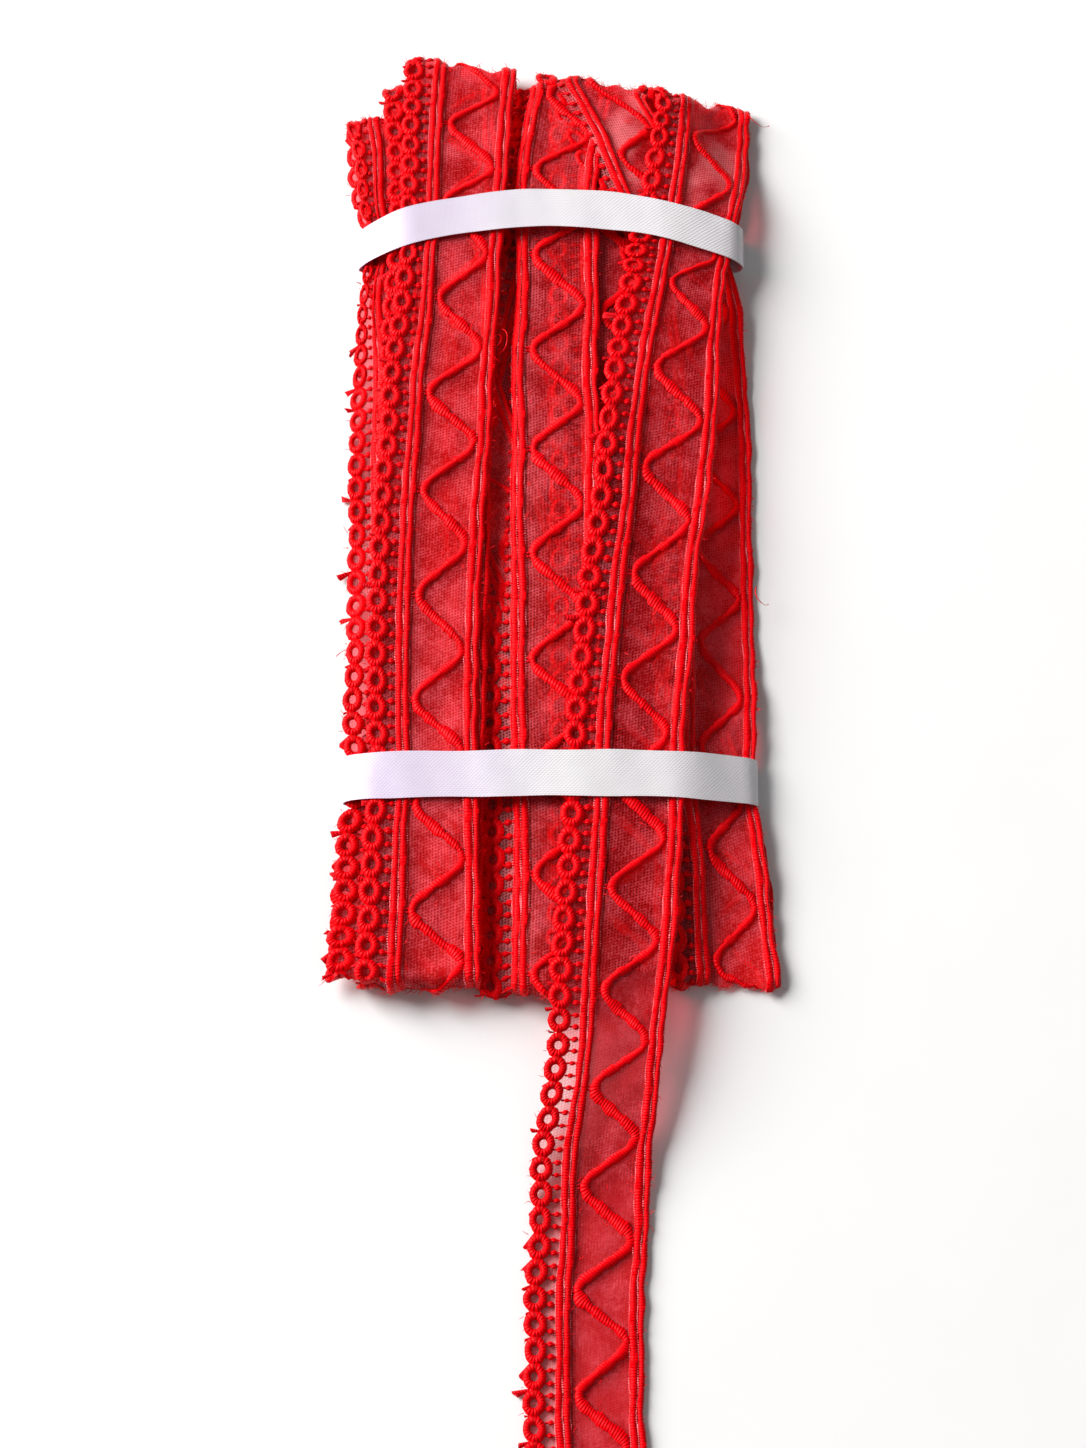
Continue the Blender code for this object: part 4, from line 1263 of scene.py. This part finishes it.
def satin_material():
    """White satin ribbon, faintly cool, with its fine crosswise weave."""
    look = Look("white_satin")
    around, across = look.stitching()[1:]
    x = look.node("SeparateXYZ", Vector=look.place).outputs["X"]
    # Painted shade and tint: the satin is darker and lilac towards its left end, the side that faces
    # the key lamp, with faint patches
    tint = look.total(look.ramp(x, -0.065, 0.0, 0.0, 0.75), look.times(look.noise(40.0, 2.0), 0.35))
    grain = look.total(look.ridges(look.total(around, across), SATIN_TWILL),
                       look.ridges(across, SATIN_RIB))
    threads = look.total(look.times(grain, 0.07), 0.90)
    colour = look.blend(1.0, look.blend(tint, *SATIN_COLOURS), threads, "MULTIPLY")
    height = look.total(look.times(grain, 0.22), look.noise(130.0, 2.0))
    return look.finished(look.surface(
        colour, height, 0.5, 0.0004, Roughness=0.38, Sheen_Weight=0.2, Specular_IOR_Level=0.5))


def floor_material():
    look = Look("pale_floor")
    colour = look.blend(look.noise(30.0, 2.0), *FLOOR_COLOURS)
    return look.finished(look.node(
        "BsdfPrincipled", Base_Color=colour, Roughness=0.9, Specular_IOR_Level=0.0).outputs[0])


def dress(piece, material):
    piece.data.materials.clear()
    piece.data.materials.append(material)
    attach(piece, "root")


def build_studio():
    bpy.ops.mesh.primitive_plane_add(size=FLOOR_SIZE, location=(0.0, 0.0, FLOOR_DROP))
    floor = added("studio_floor")
    floor.data.materials.append(floor_material())
    world = bpy.data.worlds.new("studio")
    bpy.context.scene.world = world
    world.use_nodes = True
    background = world.node_tree.nodes["Background"]
    background.inputs["Color"].default_value = (1.0, 1.0, 1.0, 1.0)
    background.inputs["Strength"].default_value = SKY
    for name, place, size, power, colour in LAMPS:
        bpy.ops.object.light_add(type="AREA", location=place)
        lamp = bpy.context.object
        lamp.name = name
        lamp.data.size = size
        lamp.data.energy = power
        lamp.data.color = colour
        aim = Vector(LAMP_AIM) - Vector(place)
        lamp.rotation_euler = aim.to_track_quat("-Z", "Y").to_euler()
    lean = math.radians(CAMERA_ELEVATION)
    back = Vector((0.0, -math.cos(lean), math.sin(lean)))
    bpy.ops.object.camera_add(location=(Vector(CAMERA_TARGET) + back * CAMERA_DISTANCE) * MM)
    camera = bpy.context.object
    camera.rotation_euler = (-back).to_track_quat("-Z", "Y").to_euler()
    camera.data.lens = CAMERA_LENS
    camera.data.sensor_width = CAMERA_SENSOR
    camera.data.sensor_fit = "AUTO"
    bpy.context.scene.camera = camera
    bpy.context.scene.view_settings.view_transform = "Standard"
    bpy.context.scene.cycles.transparent_max_bounces = CLEAR_LAYERS


def main():
    deselect()
    chance = np.random.default_rng(SEED)
    passes = lay_out_passes()
    pile = Pile()
    for run in passes[0::2][::-1] + passes[1::2]:
        lay_down(run, pile)
    fold = Fold(passes)
    thread, fine_thread, dark_thread, glint_thread = (
        thread_material(name, *values) for name, values in THREADS.items())
    satin = satin_material()
    cloth = build_cloth(fold)
    dress(cloth, cloth_material())
    laces = [
        (build_rails(fold, "left_rail_cords", LEFT_CORDS), thread),
        (build_rails(fold, "right_rail_cords", RIGHT_CORDS), thread),
        (build_zigzag(fold), thread),
        (build_rings(fold, chance), thread),
        (build_beads(fold, chance), fine_thread),
        (build_ties(fold), dark_thread),
        (build_tufts(fold, chance), dark_thread),
        (build_fibres(fold, chance), fine_thread),
        (build_loose_threads(), fine_thread),
        (build_glints(fold), glint_thread),
    ]
    for piece, material in laces:
        dress(piece, material)
    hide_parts("trim")
    for band in BANDS:
        ribbon, around = build_ribbon(band, passes)
        dress(ribbon, satin)
        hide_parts(band.node)
    build_studio()


main()
